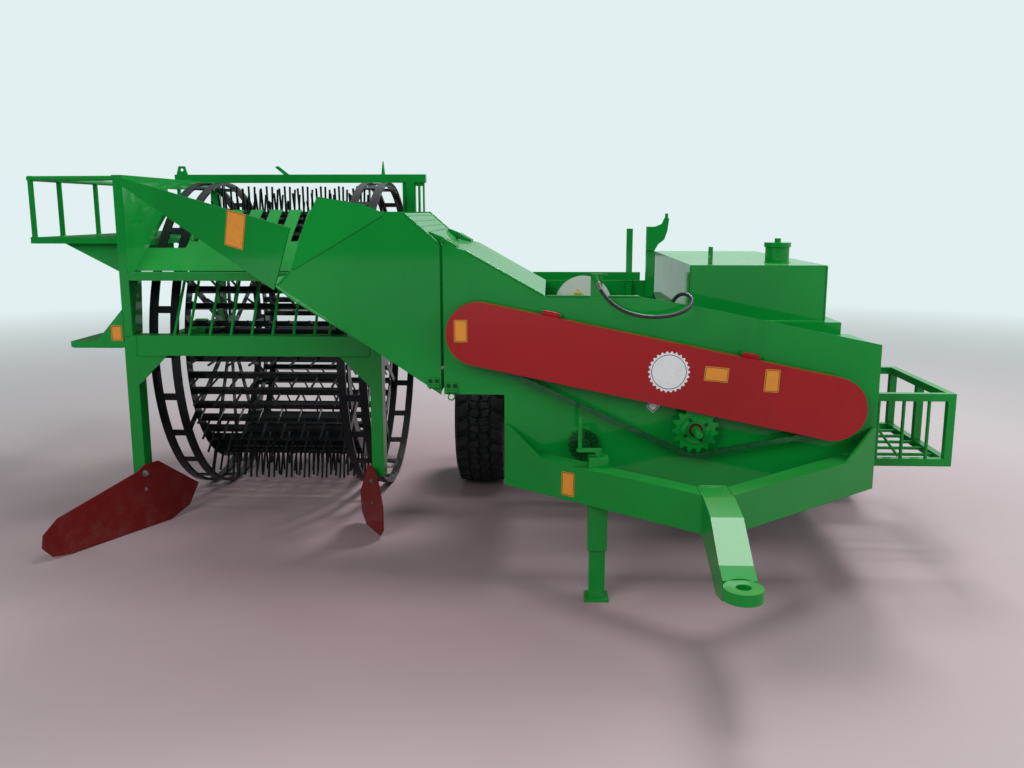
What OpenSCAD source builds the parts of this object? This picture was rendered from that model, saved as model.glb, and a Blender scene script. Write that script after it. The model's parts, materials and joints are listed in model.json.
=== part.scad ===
// Towed one-row potato harvester with a tined pickup drum.
// +X is the machine's left side, -Y points to the tractor, +Z is up, in millimetres.
// The origin is on the ground, in the middle of the machine's outline.

/* [Wheels] */
// Outer diameter of a tyre
tyre_d = 845; // [760:5:960]
// Width of a tyre
tyre_w = 290; // [230:5:320]
// Diameter of the rim where the tyre seats
rim_d = 390; // [340:5:450]
// Diameter of a wheel hub
hub_d = 150; // [110:5:180]
// Bore of a wheel hub
hub_bore = 62; // [45:1:80]
// Centre of the right wheel across the machine
wheel_right_x = -30; // [-60:5:0]
// Centre of the left wheel across the machine
wheel_left_x = 1940; // [1920:5:1960]
// Wheel axle along the machine
axle_y = 860; // [700:10:900]
// Side of the square axle beam
axle_beam = 90; // [60:5:110]

/* [Frame] */
// Underside of the frame above the ground
frame_z = 420; // [380:5:460]
// Height of the frame rails
rail_h = 150; // [110:5:180]
// Width of the frame rails
rail_w = 90; // [60:5:110]
// Outer face of the right rail
frame_right = 165; // [150:5:200]
// Outer face of the left rail
frame_left = 1755; // [1720:5:1780]
// Front face of the body and its frame
frame_front = -690; // [-720:10:-660]
// Rear end of the frame
frame_rear = 1050; // [1000:10:1200]

/* [Drawbar] */
// Bore of the hitch eye
eye_bore = 50; // [35:1:60]
// Outer diameter of the hitch eye
eye_od = 130; // [110:5:150]
// Thickness of the hitch eye
eye_t = 40; // [25:1:50]
// Centre of the hitch eye across the machine
eye_x = 980; // [950:5:1010]
// Centre of the hitch eye along the machine
eye_y = -1815; // [-1900:5:-1750]
// Middle of the hitch eye above the ground
eye_z = 400; // [340:5:440]
// Width of the tongue
tongue_w = 115; // [90:5:130]
// Point where the drawbar arms meet
apex_y = -1310; // [-1400:10:-1250]
// Thickness of the drawbar arms
arm_t = 90; // [60:5:110]

/* [Jack] */
// Outer side of the jack tube
jack_outer = 80; // [70:1:90]
// Side of the jack leg
jack_inner = 66; // [50:1:68]
// Side of the jack foot
jack_foot = 100; // [90:5:130]
// Jack across the machine
jack_x = 560; // [545:5:580]
// Lift of the jack leg
jack_lift = 200; // [150:10:200]

/* [Body] */
// Thickness of the sheet metal
sheet = 5; // [3:0.5:8]
// Inner wall behind the web
inner_y = 260; // [200:10:300]
// Rear wall of the body
rear_y = 850; // [700:10:900]
// Web shaft at the inlet, across the machine
web_in_x = 55; // [40:5:80]
// Web shaft at the inlet, height
web_in_z = 1090; // [1080:5:1120]
// Web shaft at the outlet, across the machine
web_out_x = 1555; // [1500:5:1580]
// Web shaft at the outlet, height
web_out_z = 780; // [760:5:820]
// Radius of the web round its shafts
web_r = 95; // [80:1:105]
// Diameter of a web bar
web_bar = 12; // [10:1:16]

/* [Drive] */
// Width across the drive guard's round ends
guard_d = 268; // [240:2:300]
// Depth of the drive guard
guard_depth = 64; // [62:1:66]
// Pitch diameter of the PTO sprocket
pto_sprocket_d = 182; // [150:2:200]
// Pitch diameter of the web sprockets
web_sprocket_d = 150; // [120:2:180]
// Diameter of the PTO stub shaft
pto_d = 34.9; // [30:0.1:45]
// PTO shaft across the machine
pto_x = 980; // [950:5:1010]
// PTO shaft above the ground
pto_z = 684; // [650:5:700]

/* [Tank] */
// Length of the tank along the machine
tank_l = 1570; // [1200:10:1600]
// Width of the tank
tank_w = 630; // [500:10:700]
// Height of the tank
tank_h = 260; // [200:5:320]

/* [Bag platform] */
// Reach of the bag platform beyond the body
bag_w = 455; // [380:5:500]
// Length of the bag platform along the machine
bag_l = 780; // [700:10:900]
// Gap between the bag platform and the left tyre
bag_gap = 47.5; // [40:0.5:60]
// Height of the bag platform floor
bag_z = 440; // [420:5:480]
// Height of the guard rail above the floor
bag_h = 340; // [260:10:400]

/* [Pickup drum] */
// Outer diameter of the drum's cage wheels
drum_d = 1760; // [1560:10:1800]
// Drum axis along the machine
drum_y = 880; // [870:5:900]
// Width of one cage wheel
cage_w = 150; // [110:5:180]
// Number of spokes in a cage wheel
spokes = 12; // [12:1:16]
// Number of rake bars round the drum
rake_bars = 48; // [36:12:48]
// Depth of the rake bars' middle inside the cage wheels' rims
rake_in = 180; // [160:5:240]
// Depth of the tine tips inside the cage wheels' rims
tine_in = 20; // [15:5:60]
// Diameter of a tine
tine_d = 12; // [8:1:16]
// Distance from tine to tine
tine_pitch = 105; // [90:5:130]
// Diameter of the drum shaft
drum_shaft_d = 60; // [50:1:70]

/* [Pickup frame] */
// Side of the portal legs
leg_w = 60; // [50:5:70]
// Side of the upper post on the outer leg
post_w = 40; // [30:5:50]
// Middle of the outer portal leg
leg_out_x = -1725; // [-1735:5:-1715]
// Middle of the inner portal leg
leg_in_x = -500; // [-505:5:-490]
// Lower end of the portal legs
leg_z = 280; // [240:10:320]
// Underside of the portal beam
beam_z = 890; // [860:5:920]
// Height of the portal beam
beam_h = 100; // [70:5:120]
// Top of the outer post
post_top = 1770; // [1720:10:1800]
// Outer edge of the walkway
walkway_x = -2210; // [-2260:10:-2100]
// Rear end of the walkway
walkway_y = 1880; // [1700:10:1900]
// Top of the walkway
walkway_z = 1470; // [1400:10:1500]
// Hinge line of the pickup unit across the machine
fold_x = -98; // [-100:1:-96]
// Hinge line of the pickup unit above the ground
fold_z = 1475; // [1460:5:1500]

/* [Hidden] */
$fn = 64;
e = 0.01;

green = "#128a2c";
red = "#b3121f";
dark_red = "#561412";
black = "#15191a";

web_shaft = 40;
disc_x = 530;
disc_z = 1127;
disc_d = 290;
axle_z = tyre_d / 2;
rail_top = frame_z + rail_h;
jack_y = -925;
jack_low = 220;
guard_tilt = atan((web_in_z - web_out_z) / (web_out_x - web_in_x));
web_l = norm([web_out_x - web_in_x, web_in_z - web_out_z]);
inlet_x = -95;
arch_z = 820;
front_in = frame_front + sheet;
shelf_z = 1090;
bag_y1 = axle_y - tyre_d / 2 - bag_gap;
bag_y0 = bag_y1 - bag_l;
drum_z = drum_d / 2;
rake_r = drum_d / 2 - rake_in;
tine_r = drum_d / 2 - tine_in;
cage_out = leg_out_x + leg_w / 2 + 23;
cage_in = leg_in_x - leg_w / 2 - 38;
rod_d = 14;
rod_gap = 6;
tine_gap = 8.5;
portal_front = -100;
portal_rear = portal_front + 90;
beam_top = beam_z + beam_h;
outer_face = leg_out_x - leg_w / 2;
mid_bar_z = 1262;
arm_w = 60;
arm_z = drum_z - 50;
rear_post_y = 1240;
chute_x0 = -866;
chute_x1 = -107;
chute_low = 830;
chute_tan = 0.6164;
chute_rear_y = 260;

// Top of the chute's cover at x
function chute_top(x) = 1590 - (x + 262) * 135 / 155;

// Underside of the stripper plate at y
function slide_z(y) = 1305 + (y + 12) * 295 / 472;

// Floor height of the chute at x
function chute_z(x) = chute_low + (inlet_x - x) * chute_tan;

// Box from its low corner to its high corner
module box(a, b) {
    translate(a) cube(b - a);
}

// Plate of thickness t with its outline in X and Z, from y rearward
module plate_y(y, t, outline) {
    translate([0, y + t, 0]) rotate([90, 0, 0]) linear_extrude(t) polygon(outline);
}

// Plate of thickness t with its outline in Y and Z, from x outward
module plate_x(x, t, outline) {
    translate([x, 0, 0]) rotate([90, 0, 90]) linear_extrude(t) polygon(outline);
}

// Rod of diameter d between two points
module rod(a, b, d) {
    v = b - a;
    translate(a) rotate([0, acos(v.z / norm(v)), atan2(v.y, v.x)])
        cylinder(d = d, h = norm(v), $fn = 24);
}

// Cylinder along X from x0 to x1
module bar_x(x0, x1, y, z, d, fn = 48) {
    translate([x0, y, z]) rotate([0, 90, 0]) cylinder(d = d, h = x1 - x0, $fn = fn);
}

// Cylinder along Y from y0 to y1
module bar_y(x, y0, y1, z, d, fn = 48) {
    translate([x, y0, z]) rotate([-90, 0, 0]) cylinder(d = d, h = y1 - y0, $fn = fn);
}

// Chassis

module side_rails() {
    color(green) difference() {
        for (x = [frame_right, frame_left - rail_w])
            box([x, front_in, frame_z], [x + rail_w, frame_rear, rail_top]);
        box([frame_right - 1, axle_y - axle_beam / 2, axle_z - axle_beam / 2],
            [frame_left + 1, axle_y + axle_beam / 2, axle_z + axle_beam / 2]);
    }
}

module cross_members() {
    beam = 80;
    color(green)
        for (y = [front_in, 100, frame_rear - beam])
            box([frame_right + rail_w, y, frame_z + 10],
                [frame_left - rail_w, y + beam, frame_z + 10 + beam]);
}

// One drawbar arm from the body's corner to the apex, with its root gusset
module drawbar_arm(root_x, side) {
    plan = [[root_x, frame_front], [eye_x + side * tongue_w / 2, apex_y],
            [eye_x + side * tongue_w / 2, apex_y + arm_t * 1.25],
            [root_x - side * arm_t * 1.6, frame_front]];
    gusset_top = rail_top + 120;
    slope = (frame_front - apex_y) / (root_x - eye_x - side * tongue_w / 2);
    translate([0, 0, frame_z]) linear_extrude(rail_h) polygon(plan);
    translate([root_x, frame_front, rail_top]) rotate([0, 0, atan(slope)])
        rotate([90, 0, 0]) translate([0, 0, -12]) linear_extrude(12)
            polygon([[0, -e], [-side * 205, -e], [-side * 22, 120], [0, 120]]);
}

module drawbar_arms() {
    color(green) difference() {
        intersection() {
            union() {
                drawbar_arm(frame_right, -1);
                drawbar_arm(frame_left, 1);
            }
            box([frame_right, apex_y - 1, frame_z], [frame_left, frame_front, rail_top + 121]);
        }
        box([jack_x - jack_outer / 2, jack_y - jack_outer / 2, 0],
            [jack_x + jack_outer / 2, jack_y + jack_outer / 2, 1000]);
    }
}

module tongue() {
    w = tongue_w / 2;
    side = [[apex_y + arm_t * 1.25, frame_z], [apex_y + arm_t * 1.25, rail_top],
            [apex_y - 30, rail_top], [apex_y - 190, rail_top - 22],
            [eye_y + eye_od / 2 + 60, eye_z + eye_t / 2 + 25],
            [eye_y + eye_od / 2 - 12, eye_z + eye_t / 2],
            [eye_y + eye_od / 2 - 12, eye_z - eye_t / 2 - 30],
            [eye_y + eye_od / 2 + 90, eye_z - eye_t / 2 - 50],
            [apex_y - 60, frame_z]];
    color(green) difference() {
        plate_x(eye_x - w, tongue_w, side);
        translate([eye_x, eye_y, 0]) cylinder(d = eye_od, h = 1000);
    }
}

module hitch_eye() {
    color(green) translate([eye_x, eye_y, eye_z - eye_t / 2]) difference() {
        cylinder(d = eye_od, h = eye_t);
        translate([0, 0, -1]) cylinder(d = eye_bore, h = eye_t + 2);
    }
}

module jack_tube() {
    half = jack_outer / 2;
    bore = jack_inner / 2 + 0.4;
    top = rail_top + 40;
    arm = 75;
    color(green) {
        difference() {
            box([jack_x - half, jack_y - half, jack_low], [jack_x + half, jack_y + half, top]);
            box([jack_x - bore, jack_y - bore, jack_low - 1], [jack_x + bore, jack_y + bore, top - 8]);
        }
        translate([jack_x, jack_y, top - e]) cylinder(d = 30, h = 26);
        hull()
            for (x = [jack_x, jack_x - arm])
                translate([x, jack_y, top + 22]) cylinder(d = 30, h = 12);
        translate([jack_x - arm, jack_y, top + 32]) cylinder(d = 18, h = 130);
    }
}

module jack_leg() {
    half = jack_inner / 2;
    foot = jack_foot / 2;
    color(green) {
        box([jack_x - half, jack_y - half, 12 - e],
            [jack_x + half, jack_y + half, rail_top + 26 - jack_lift]);
        box([jack_x - foot, jack_y - foot, 0], [jack_x + foot, jack_y + foot, 12]);
    }
}

module axle_beam() {
    stub_r = wheel_right_x + tyre_w / 2 + 25;
    stub_l = wheel_left_x - tyre_w / 2 - 25;
    color(green) {
        box([stub_r, axle_y - axle_beam / 2, axle_z - axle_beam / 2],
            [stub_l, axle_y + axle_beam / 2, axle_z + axle_beam / 2]);
        bar_x(wheel_right_x - 60, stub_r + 5, axle_y, axle_z, hub_bore - 1);
        bar_x(stub_l - 5, wheel_left_x + 60, axle_y, axle_z, hub_bore - 1);
    }
}

// Tyre on the axle line at x
module tyre(x) {
    r = tyre_d / 2;
    w = tyre_w / 2;
    color(black) translate([x, axle_y, axle_z]) rotate([0, 90, 0]) rotate_extrude($fn = 96)
        polygon([[rim_d / 2, -w + 40], [rim_d / 2 + 25, -w + 12], [r - 90, -w], [r - 30, -w + 12],
                 [r, -w + 45], [r, w - 45], [r - 30, w - 12], [r - 90, w], [rim_d / 2 + 25, w - 12],
                 [rim_d / 2, w - 40]]);
}

// Rim and hub on the axle line at x, dished toward side
module rim(x, side) {
    r = rim_d / 2;
    w = tyre_w / 2;
    color(green) translate([x, axle_y, axle_z]) rotate([0, side * 90, 0]) rotate_extrude($fn = 96)
        polygon([[hub_bore / 2, -75], [hub_d / 2, -75], [hub_d / 2, 5], [r - 24, 20], [r - 24, -w + 35],
                 [r, -w + 35], [r, w - 35], [r - 24, w - 35], [r - 24, 32], [hub_d / 2, 17],
                 [hub_d / 2 - 15, 55], [hub_bore / 2, 55]]);
}

module tyre_right() { tyre(wheel_right_x); }
module rim_right() { rim(wheel_right_x, -1); }
module tyre_left() { tyre(wheel_left_x); }
module rim_left() { rim(wheel_left_x, 1); }

// Body

module body_front() {
    outline = [[inlet_x, 1458], [-8, 1438], [337, 1245], [736, 1245], [1009, 1198],
               [frame_left, 1045], [frame_left, frame_z], [frame_right, frame_z],
               [frame_right, arch_z], [inlet_x, arch_z]];
    color(green) difference() {
        plate_y(frame_front, sheet, outline);
        web_shaft_holes(frame_front);
        bar_y(pto_x, frame_front - 1, front_in + 1, pto_z, pto_d + 10);
    }
}

// Holes for the two web shafts in the wall at y
module web_shaft_holes(y) {
    for (p = [[web_in_x, web_in_z], [web_out_x, web_out_z]])
        bar_y(p.x, y - 1, y + sheet + 1, p.y, web_shaft + 0.6);
}

module body_inner_wall() {
    color(green) {
        difference() {
            plate_y(inner_y, sheet, [[inlet_x, 1458], [-8, 1438], [337, 1245], [870, 1245],
                                     [960, shelf_z - 60], [frame_left, shelf_z - 60],
                                     [frame_left, rail_top], [frame_right, rail_top],
                                     [frame_right, arch_z], [inlet_x, arch_z]]);
            web_shaft_holes(inner_y);
            bar_y(disc_x, inner_y - 1, inner_y + sheet + 1, disc_z, 30);
        }
        box([inlet_x, front_in, arch_z], [frame_right + sheet, inner_y, arch_z + sheet]);
        box([frame_right, front_in, rail_top], [frame_right + sheet, inner_y, arch_z]);
    }
}

module body_rear_wall() {
    color(green) {
        plate_y(rear_y, sheet, [[frame_right + 95, 1250], [880, 1250], [880, shelf_z - 60],
                                [frame_left, shelf_z - 60], [frame_left, rail_top],
                                [frame_right + 95, rail_top]]);
        box([frame_right + 95, inner_y + sheet, rail_top], [frame_right + 95 + sheet, rear_y, 1100]);
    }
}

// Top of the body's cover at x, from its flange to its first bend
function cover_z(x) = 1458 - (x + 90) * 20 / 82;

module body_cover() {
    color(green) plate_y(front_in, inner_y - front_in, [[-90, 1458], [-8, 1438], [337, 1245],
                                       [337, 1240], [-10, 1433], [-90, 1453]]);
}

// Sheet between the tank's shelf and the body's front, over the end of the web
module outlet_cover() {
    color(green) {
        box([1520, front_in, 1030], [frame_left, -260, 1035]);
        box([1515, front_in, 1000], [1520, -260, 1035]);
    }
}

module rear_deck() {
    color(green) box([frame_right + 95 + sheet, inner_y + sheet, rail_top],
                     [frame_left, rear_y, rail_top + sheet]);
}

// Outline of the web seen from the front, grown outward by g
module web_loop(g) {
    translate([web_in_x, web_in_z]) rotate(-guard_tilt) {
        translate([0, -web_r - g]) square([web_l, 2 * (web_r + g)]);
        circle(r = web_r + g);
        translate([web_l, 0]) circle(r = web_r + g);
    }
}

module separating_web() {
    y0 = front_in + 30;
    y1 = inner_y - 90;
    straight = floor(web_l / 60);
    color(black) {
        for (y = [y0, (y0 + y1) / 2 - 20, y1 - 40])
            translate([0, y + 40, 0]) rotate([90, 0, 0]) linear_extrude(40) difference() {
                web_loop(0);
                web_loop(-8);
            }
        translate([web_in_x, 0, web_in_z]) rotate([0, guard_tilt, 0]) {
            for (i = [0 : straight - 1], s = [-1, 1])
                bar_y((i + 0.5) * web_l / straight, y0, y1, s * (web_r - 4), web_bar, 16);
            for (k = [0 : 1], a = [-54, -18, 18, 54])
                bar_y(k * web_l - (1 - 2 * k) * (web_r - 4) * cos(a), y0, y1,
                      (web_r - 4) * sin(a), web_bar, 16);
        }
    }
}

module web_rollers() {
    color(black)
        for (p = [[web_in_x, web_in_z], [web_out_x, web_out_z]]) {
            bar_y(p.x, frame_front - 55, inner_y + 40, p.y, web_shaft);
            for (y = [front_in + 35, (front_in + inner_y) / 2 - 45, inner_y - 125])
                bar_y(p.x, y, y + 30, p.y, 2 * (web_r - 4.3) - web_bar);
        }
}

module pto_shaft() {
    color(green) {
        bar_y(pto_x, frame_front - 150, frame_front - 65, pto_z, pto_d);
        bar_y(pto_x, frame_front - 65 - e, frame_front - 15 + e, pto_z, web_shaft);
        bar_y(pto_x, frame_front - 15, frame_front, pto_z, 90);
        bar_y(pto_x, frame_front - e, front_in + e, pto_z, pto_d + 10);
        bar_y(pto_x, front_in, front_in + 60, pto_z, 90);
    }
}

// Toothed disc of n teeth at p
module sprocket(p, pitch_d, n, bore) {
    translate([p.x, frame_front - 38, p.y]) rotate([90, 0, 0]) difference() {
        union() {
            linear_extrude(12)
                polygon([for (i = [0 : 4 * n - 1])
                    let (r = pitch_d / 2 + (i % 4 < 2 ? -9 : 8)) r * [cos(i * 90 / n), sin(i * 90 / n)]]);
            translate([0, 0, -14]) cylinder(d = bore + 36, h = 34);
        }
        translate([0, 0, -20]) cylinder(d = bore, h = 60);
    }
}

module drive_sprockets() {
    color(green) {
        sprocket([pto_x, pto_z], pto_sprocket_d, 15, web_shaft);
        sprocket([web_in_x, web_in_z], web_sprocket_d, 12, web_shaft);
        sprocket([web_out_x, web_out_z], web_sprocket_d, 12, web_shaft);
    }
}

// Straight run of chain between two points on the chain line
module chain_run(a, b, h) {
    v = b - a;
    translate(a) rotate(atan2(v.y, v.x)) translate([0, -h / 2]) square([norm(v), h]);
}

module drive_chain() {
    h = 24;
    r = web_sprocket_d / 2 + 9 + h / 2;
    rp = pto_sprocket_d / 2 + 9 + h / 2;
    a = [web_in_x, web_in_z];
    b = [web_out_x, web_out_z];
    c = [pto_x, pto_z];
    up = [sin(guard_tilt), cos(guard_tilt)];
    ac = c - a;
    cb = b - c;
    ta = asin((rp - r) / norm(ac)) + atan2(ac.y, ac.x);
    tb = atan2(cb.y, cb.x) - asin((rp - r) / norm(cb));
    na = [sin(ta), -cos(ta)];
    nb = [sin(tb), -cos(tb)];
    color(green) translate([0, frame_front - 35, 0]) rotate([90, 0, 0]) linear_extrude(17) {
        chain_run(a + r * up, b + r * up, h);
        chain_run(a + r * na, c + rp * na, h);
        chain_run(c + rp * nb, b + r * nb, h);
        chain_arc(a, r, h, atan2(up.y, up.x), atan2(na.y, na.x) + 360);
        chain_arc(b, r, h, atan2(nb.y, nb.x), atan2(up.y, up.x));
        chain_arc(c, rp, h, atan2(na.y, na.x), atan2(nb.y, nb.x));
    }
}

// Chain wrapped round a sprocket at p, from angle a0 to angle a1
module chain_arc(p, r, h, a0, a1) {
    n = 12;
    arc = [for (i = [0 : n]) a0 + (a1 - a0) * i / n];
    translate(p) polygon(concat([for (a = arc) (r + h / 2) * [cos(a), sin(a)]],
                                [for (i = [n : -1 : 0]) (r - h / 2) * [cos(arc[i]), sin(arc[i])]]));
}

// Hinge line of the guard: its height over the guard's middle, its stand-off and its two tabs
guard_hinge_up = guard_d / 2 + 12;
guard_hinge_out = 8;
guard_hinges = [250, 1110];

module drive_guard() {
    t = 3;
    y1 = frame_front - 6;
    color(red) translate([web_in_x, y1, web_in_z]) rotate([90, guard_tilt, 0]) {
        difference() {
            linear_extrude(guard_depth) hull_slot(guard_d / 2);
            translate([0, 0, -1]) linear_extrude(guard_depth - t + 1) hull_slot(guard_d / 2 - t);
            translate([web_l * 0.02, -guard_d / 2 - 1, -1])
                cube([web_l * 0.98, guard_d / 2 - 60, guard_depth - 12]);
        }
        for (s = guard_hinges)
            translate([s, guard_hinge_up, guard_hinge_out]) rotate([0, 90, 0]) difference() {
                union() {
                    cylinder(d = 16, h = 70);
                    translate([-8, -12.5, 0]) cube([8, 12.5, 70]);
                }
                translate([0, 0, -1]) cylinder(d = 10.6, h = 72);
            }
    }
}

// Pins of the guard's two hinges, with their ears on the body's front
module guard_pins() {
    color(green) translate([web_in_x, frame_front - 6, web_in_z]) rotate([90, guard_tilt, 0])
        for (s = guard_hinges)
            translate([s, guard_hinge_up, guard_hinge_out]) {
                translate([-12, 0, 0]) rotate([0, 90, 0]) cylinder(d = 10, h = 94);
                for (x = [-8, 72])
                    translate([x, -7, -guard_hinge_out - 6]) cube([6, 16, guard_hinge_out + 14]);
            }
}

// Slot shape along the guard with end radius r
module hull_slot(r) {
    circle(r = r);
    translate([web_l, 0]) circle(r = r);
    translate([0, -r]) square([web_l, 2 * r]);
}

// On the body

module tank_shelf() {
    color(green) difference() {
        box([960, -260, shelf_z - 60], [1710, 1400, shelf_z]);
        for (x = [1000, 1355], i = [0 : 3])
            box([x, -220 + i * 400, shelf_z - 61], [x + 315, 140 + i * 400, shelf_z - sheet]);
    }
}

tank_x = 1015;
tank_y = -210;
tank_wall = 4;
tank_filler = [tank_x + tank_w - 170, 60, shelf_z + tank_h];

module tank() {
    color(green) difference() {
        union() {
            translate([tank_x, tank_y, shelf_z]) cube([tank_w, tank_l, tank_h]);
            translate([tank_x + 105, tank_y + 100, shelf_z + tank_h - e]) cube([12, 60, 80]);
        }
        translate([tank_x, tank_y, shelf_z] + tank_wall * [1, 1, 1])
            cube([tank_w, tank_l, tank_h] - 2 * tank_wall * [1, 1, 1]);
        translate(tank_filler) cylinder(d = 80, h = 20, center = true);
        bar_x(tank_x + 95, tank_x + 125, tank_y + 130, shelf_z + tank_h + 50, 30);
    }
}

module tank_cap() {
    color(green) translate(tank_filler) {
        cylinder(d = 115, h = 75);
        translate([0, 0, 75 - e]) cylinder(d = 128, h = 22);
        translate([0, 0, 97 - e]) cylinder(d = 30, h = 20);
    }
}

module bag_platform() {
    x0 = frame_left;
    x1 = frame_left + bag_w;
    color(green) {
        for (y = [bag_y0, bag_y1 - 35])
            box([x0, y, bag_z], [x1, y + 35, bag_z + 35]);
        for (x = [x0, x1 - 35])
            box([x, bag_y0, bag_z], [x + 35, bag_y1, bag_z + 35]);
        for (i = [1 : 5])
            bar_x(x0 + 10, x1 - 10, bag_y0 + 17 + i * (bag_l - 35) / 6, bag_z + 20, 16);
    }
}

module bag_rail() {
    x0 = frame_left;
    x1 = frame_left + bag_w;
    y = bag_y0 + 17;
    top = bag_z + bag_h;
    color(green) {
        for (y = [bag_y0, (bag_y0 + bag_y1) / 2 - 17, bag_y1 - 35])
            box([x1 - 35, y, bag_z + 35], [x1, y + 35, top - 35]);
        box([x1 - 35, bag_y0, top - 35], [x1, bag_y1, top]);
        for (y = [bag_y0, bag_y1 - 35])
            box([x0, y, top - 35], [x1, y + 35, top]);
        for (i = [1 : 3])
            rod([x0 + i * bag_w / 4, y, bag_z + 35], [x0 + i * bag_w / 4, y, top - 20], 16);
        rod([x0 + 10, y, top - 30], [x0 + bag_w / 2 - 12, y, bag_z + 44], 12);
    }
}

module hose_uprights() {
    color(green) {
        box([750, inner_y - 30, 1245], [780, inner_y, 1510]);
        box([750, inner_y - 30, 1160], [780, inner_y, 1245]);
        box([850, inner_y - 40, 1160], [890, inner_y, 1520]);
        plate_y(inner_y - 50, 10 + e, [[850, 1400], [890, 1400], [908, 1432], [938, 1455], [953, 1500],
                                   [960, 1562], [936, 1564], [924, 1535], [890, 1520], [850, 1520]]);
        translate([947, inner_y - 45, 1562]) cylinder(d = 16, h = 24);
        box([529, front_in, 1200], [578, front_in + 8, 1340]);
        box([529, frame_front, 1334], [600, front_in + e, 1340]);
        bar_y(549, -708, front_in + e, 1326, 24);
        rod(hose_a[0] - 28 * hose_out, hose_a[0] - 0.3 * hose_out, hose_d + 4);
        box([hose_c[3].x - 20, front_in, 1128], [hose_c[3].x + 20, hose_c[3].y + 20, 1134]);
        translate([hose_c[3].x, hose_c[3].y, 1134 - e]) cylinder(d = hose_d + 6, h = hose_c[3].z - 1136.4);
    }
}

// Route of the hanging hose: out of its upper fitting, along its sag, and back over the wall
hose_d = 16;
hose_a = [[556, -716, 1306], [582, -756, 1226], [668, -774, 1168], [788, -776, 1168]];
hose_b = [[788, -776, 1168], [860, -778, 1168], [940, -778, 1190], [950, -726, 1230]];
hose_c = [[950, -726, 1230], [957, -690, 1258], [884, -622, 1288], [868, -606, 1160]];
hose_out = (hose_a[1] - hose_a[0]) / norm(hose_a[1] - hose_a[0]);
hose_path = concat(curve(hose_a, [0 : 9]), curve(hose_b, [0 : 9]), curve(hose_c, [0 : 10]));

// Points on a curve with four control points, at tenths of its length
function curve(p, steps) = [for (i = steps) let (t = i / 10, u = 1 - t)
    u * u * u * p[0] + 3 * u * u * t * p[1] + 3 * u * t * t * p[2] + t * t * t * p[3]];

module hydraulic_hose() {
    color(black) sweep(hose_path, hose_d / 2, 10);
}

// Tube of n sides and radius r along points p
module sweep(p, r, n) {
    last = len(p) - 1;
    dir = [for (i = [0 : last]) let (v = p[min(i + 1, last)] - p[max(i - 1, 0)]) v / norm(v)];
    side = [for (d = dir) let (s = cross(d, [1, 1.4, -1])) s / norm(s)];
    rings = [for (i = [0 : last], k = [0 : n - 1])
        p[i] + r * (cos(k * 360 / n) * side[i] + sin(k * 360 / n) * cross(dir[i], side[i]))];
    walls = [for (i = [0 : last - 1], k = [0 : n - 1])
        [i * n + k, i * n + (k + 1) % n, (i + 1) * n + (k + 1) % n, (i + 1) * n + k]];
    polyhedron(rings, concat(walls, [[for (k = [n - 1 : -1 : 0]) k]],
                             [[for (k = [0 : n - 1]) last * n + k]]), convexity = 4);
}

module marker_disc() {
    color("white") {
        bar_y(disc_x, inner_y - 72, inner_y - 64, disc_z, disc_d);
        bar_y(disc_x, inner_y - 84, inner_y - 72 + e, disc_z, 60);
        bar_y(disc_x, inner_y - 64 - e, inner_y + sheet, disc_z, 30);
    }
}

// Knuckles and pin on the body's side of the fold hinge
knuckle_d = 27;
fold_pin = 15;

module fold_hinge() {
    color(green)
        for (y = [frame_front + 30, chute_rear_y - 150]) {
            difference() {
                union() {
                    bar_y(fold_x, y, y + 38, fold_z, knuckle_d);
                    bar_y(fold_x, y + 80, y + 118, fold_z, knuckle_d);
                    for (dy = [0, 80])
                        plate_y(y + dy, 38, [[fold_x, cover_z(fold_x)], [fold_x + 60, cover_z(fold_x + 60)],
                                             [fold_x + 60, cover_z(fold_x + 60) + 10],
                                             [fold_x, fold_z + knuckle_d / 2]]);
                }
                bar_y(fold_x, y - 1, y + 120, fold_z, fold_pin);
            }
            bar_y(fold_x, y - 6, y + 124, fold_z, fold_pin);
        }
}

// Pickup unit

module fold_knuckles() {
    color(green)
        for (y = [frame_front + 30, chute_rear_y - 150])
            difference() {
                union() {
                    bar_y(fold_x, y + 42, y + 76, fold_z, knuckle_d);
                    plate_y(y + 42, 34, [[fold_x, fold_z + knuckle_d / 2],
                                         [fold_x - 62, chute_top(fold_x - 62) + 12],
                                         [fold_x - 62, chute_top(fold_x - 62)],
                                         [fold_x - 14, chute_top(fold_x - 14)], [fold_x, fold_z - 12]]);
                }
                bar_y(fold_x, y, y + 120, fold_z, fold_pin + 0.6);
            }
}

module portal_legs() {
    color(green) {
        box([outer_face, portal_front, leg_z], [outer_face + leg_w, portal_rear, beam_top]);
        box([outer_face, portal_front, beam_top - e],
            [outer_face + post_w, portal_front + post_w, post_top]);
        x0 = leg_in_x - leg_w / 2;
        x1 = leg_in_x + leg_w / 2;
        under = sheet * 1.2 + 2 * e;
        plate_y(portal_front, portal_rear - portal_front,
                [[x0, leg_z], [x1, leg_z], [x1, chute_z(x1) - under], [x0, chute_z(x0) - under]]);
    }
}

module portal_beam() {
    x0 = outer_face + leg_w;
    x1 = leg_in_x - leg_w / 2;
    gusset = 150;
    color(green) {
        box([x0, portal_front, beam_z], [x1, portal_rear, beam_top]);
        plate_y(portal_front, 12, [[x0, beam_z - gusset], [x0 + gusset, beam_z + e], [x0, beam_z + e]]);
        plate_y(portal_front, 12, [[x1, beam_z - gusset], [x1, beam_z + e], [x1 - gusset, beam_z + e]]);
        box([outer_face + post_w + sheet, portal_front, mid_bar_z], [-880, -20, mid_bar_z + 40]);
    }
}

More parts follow.
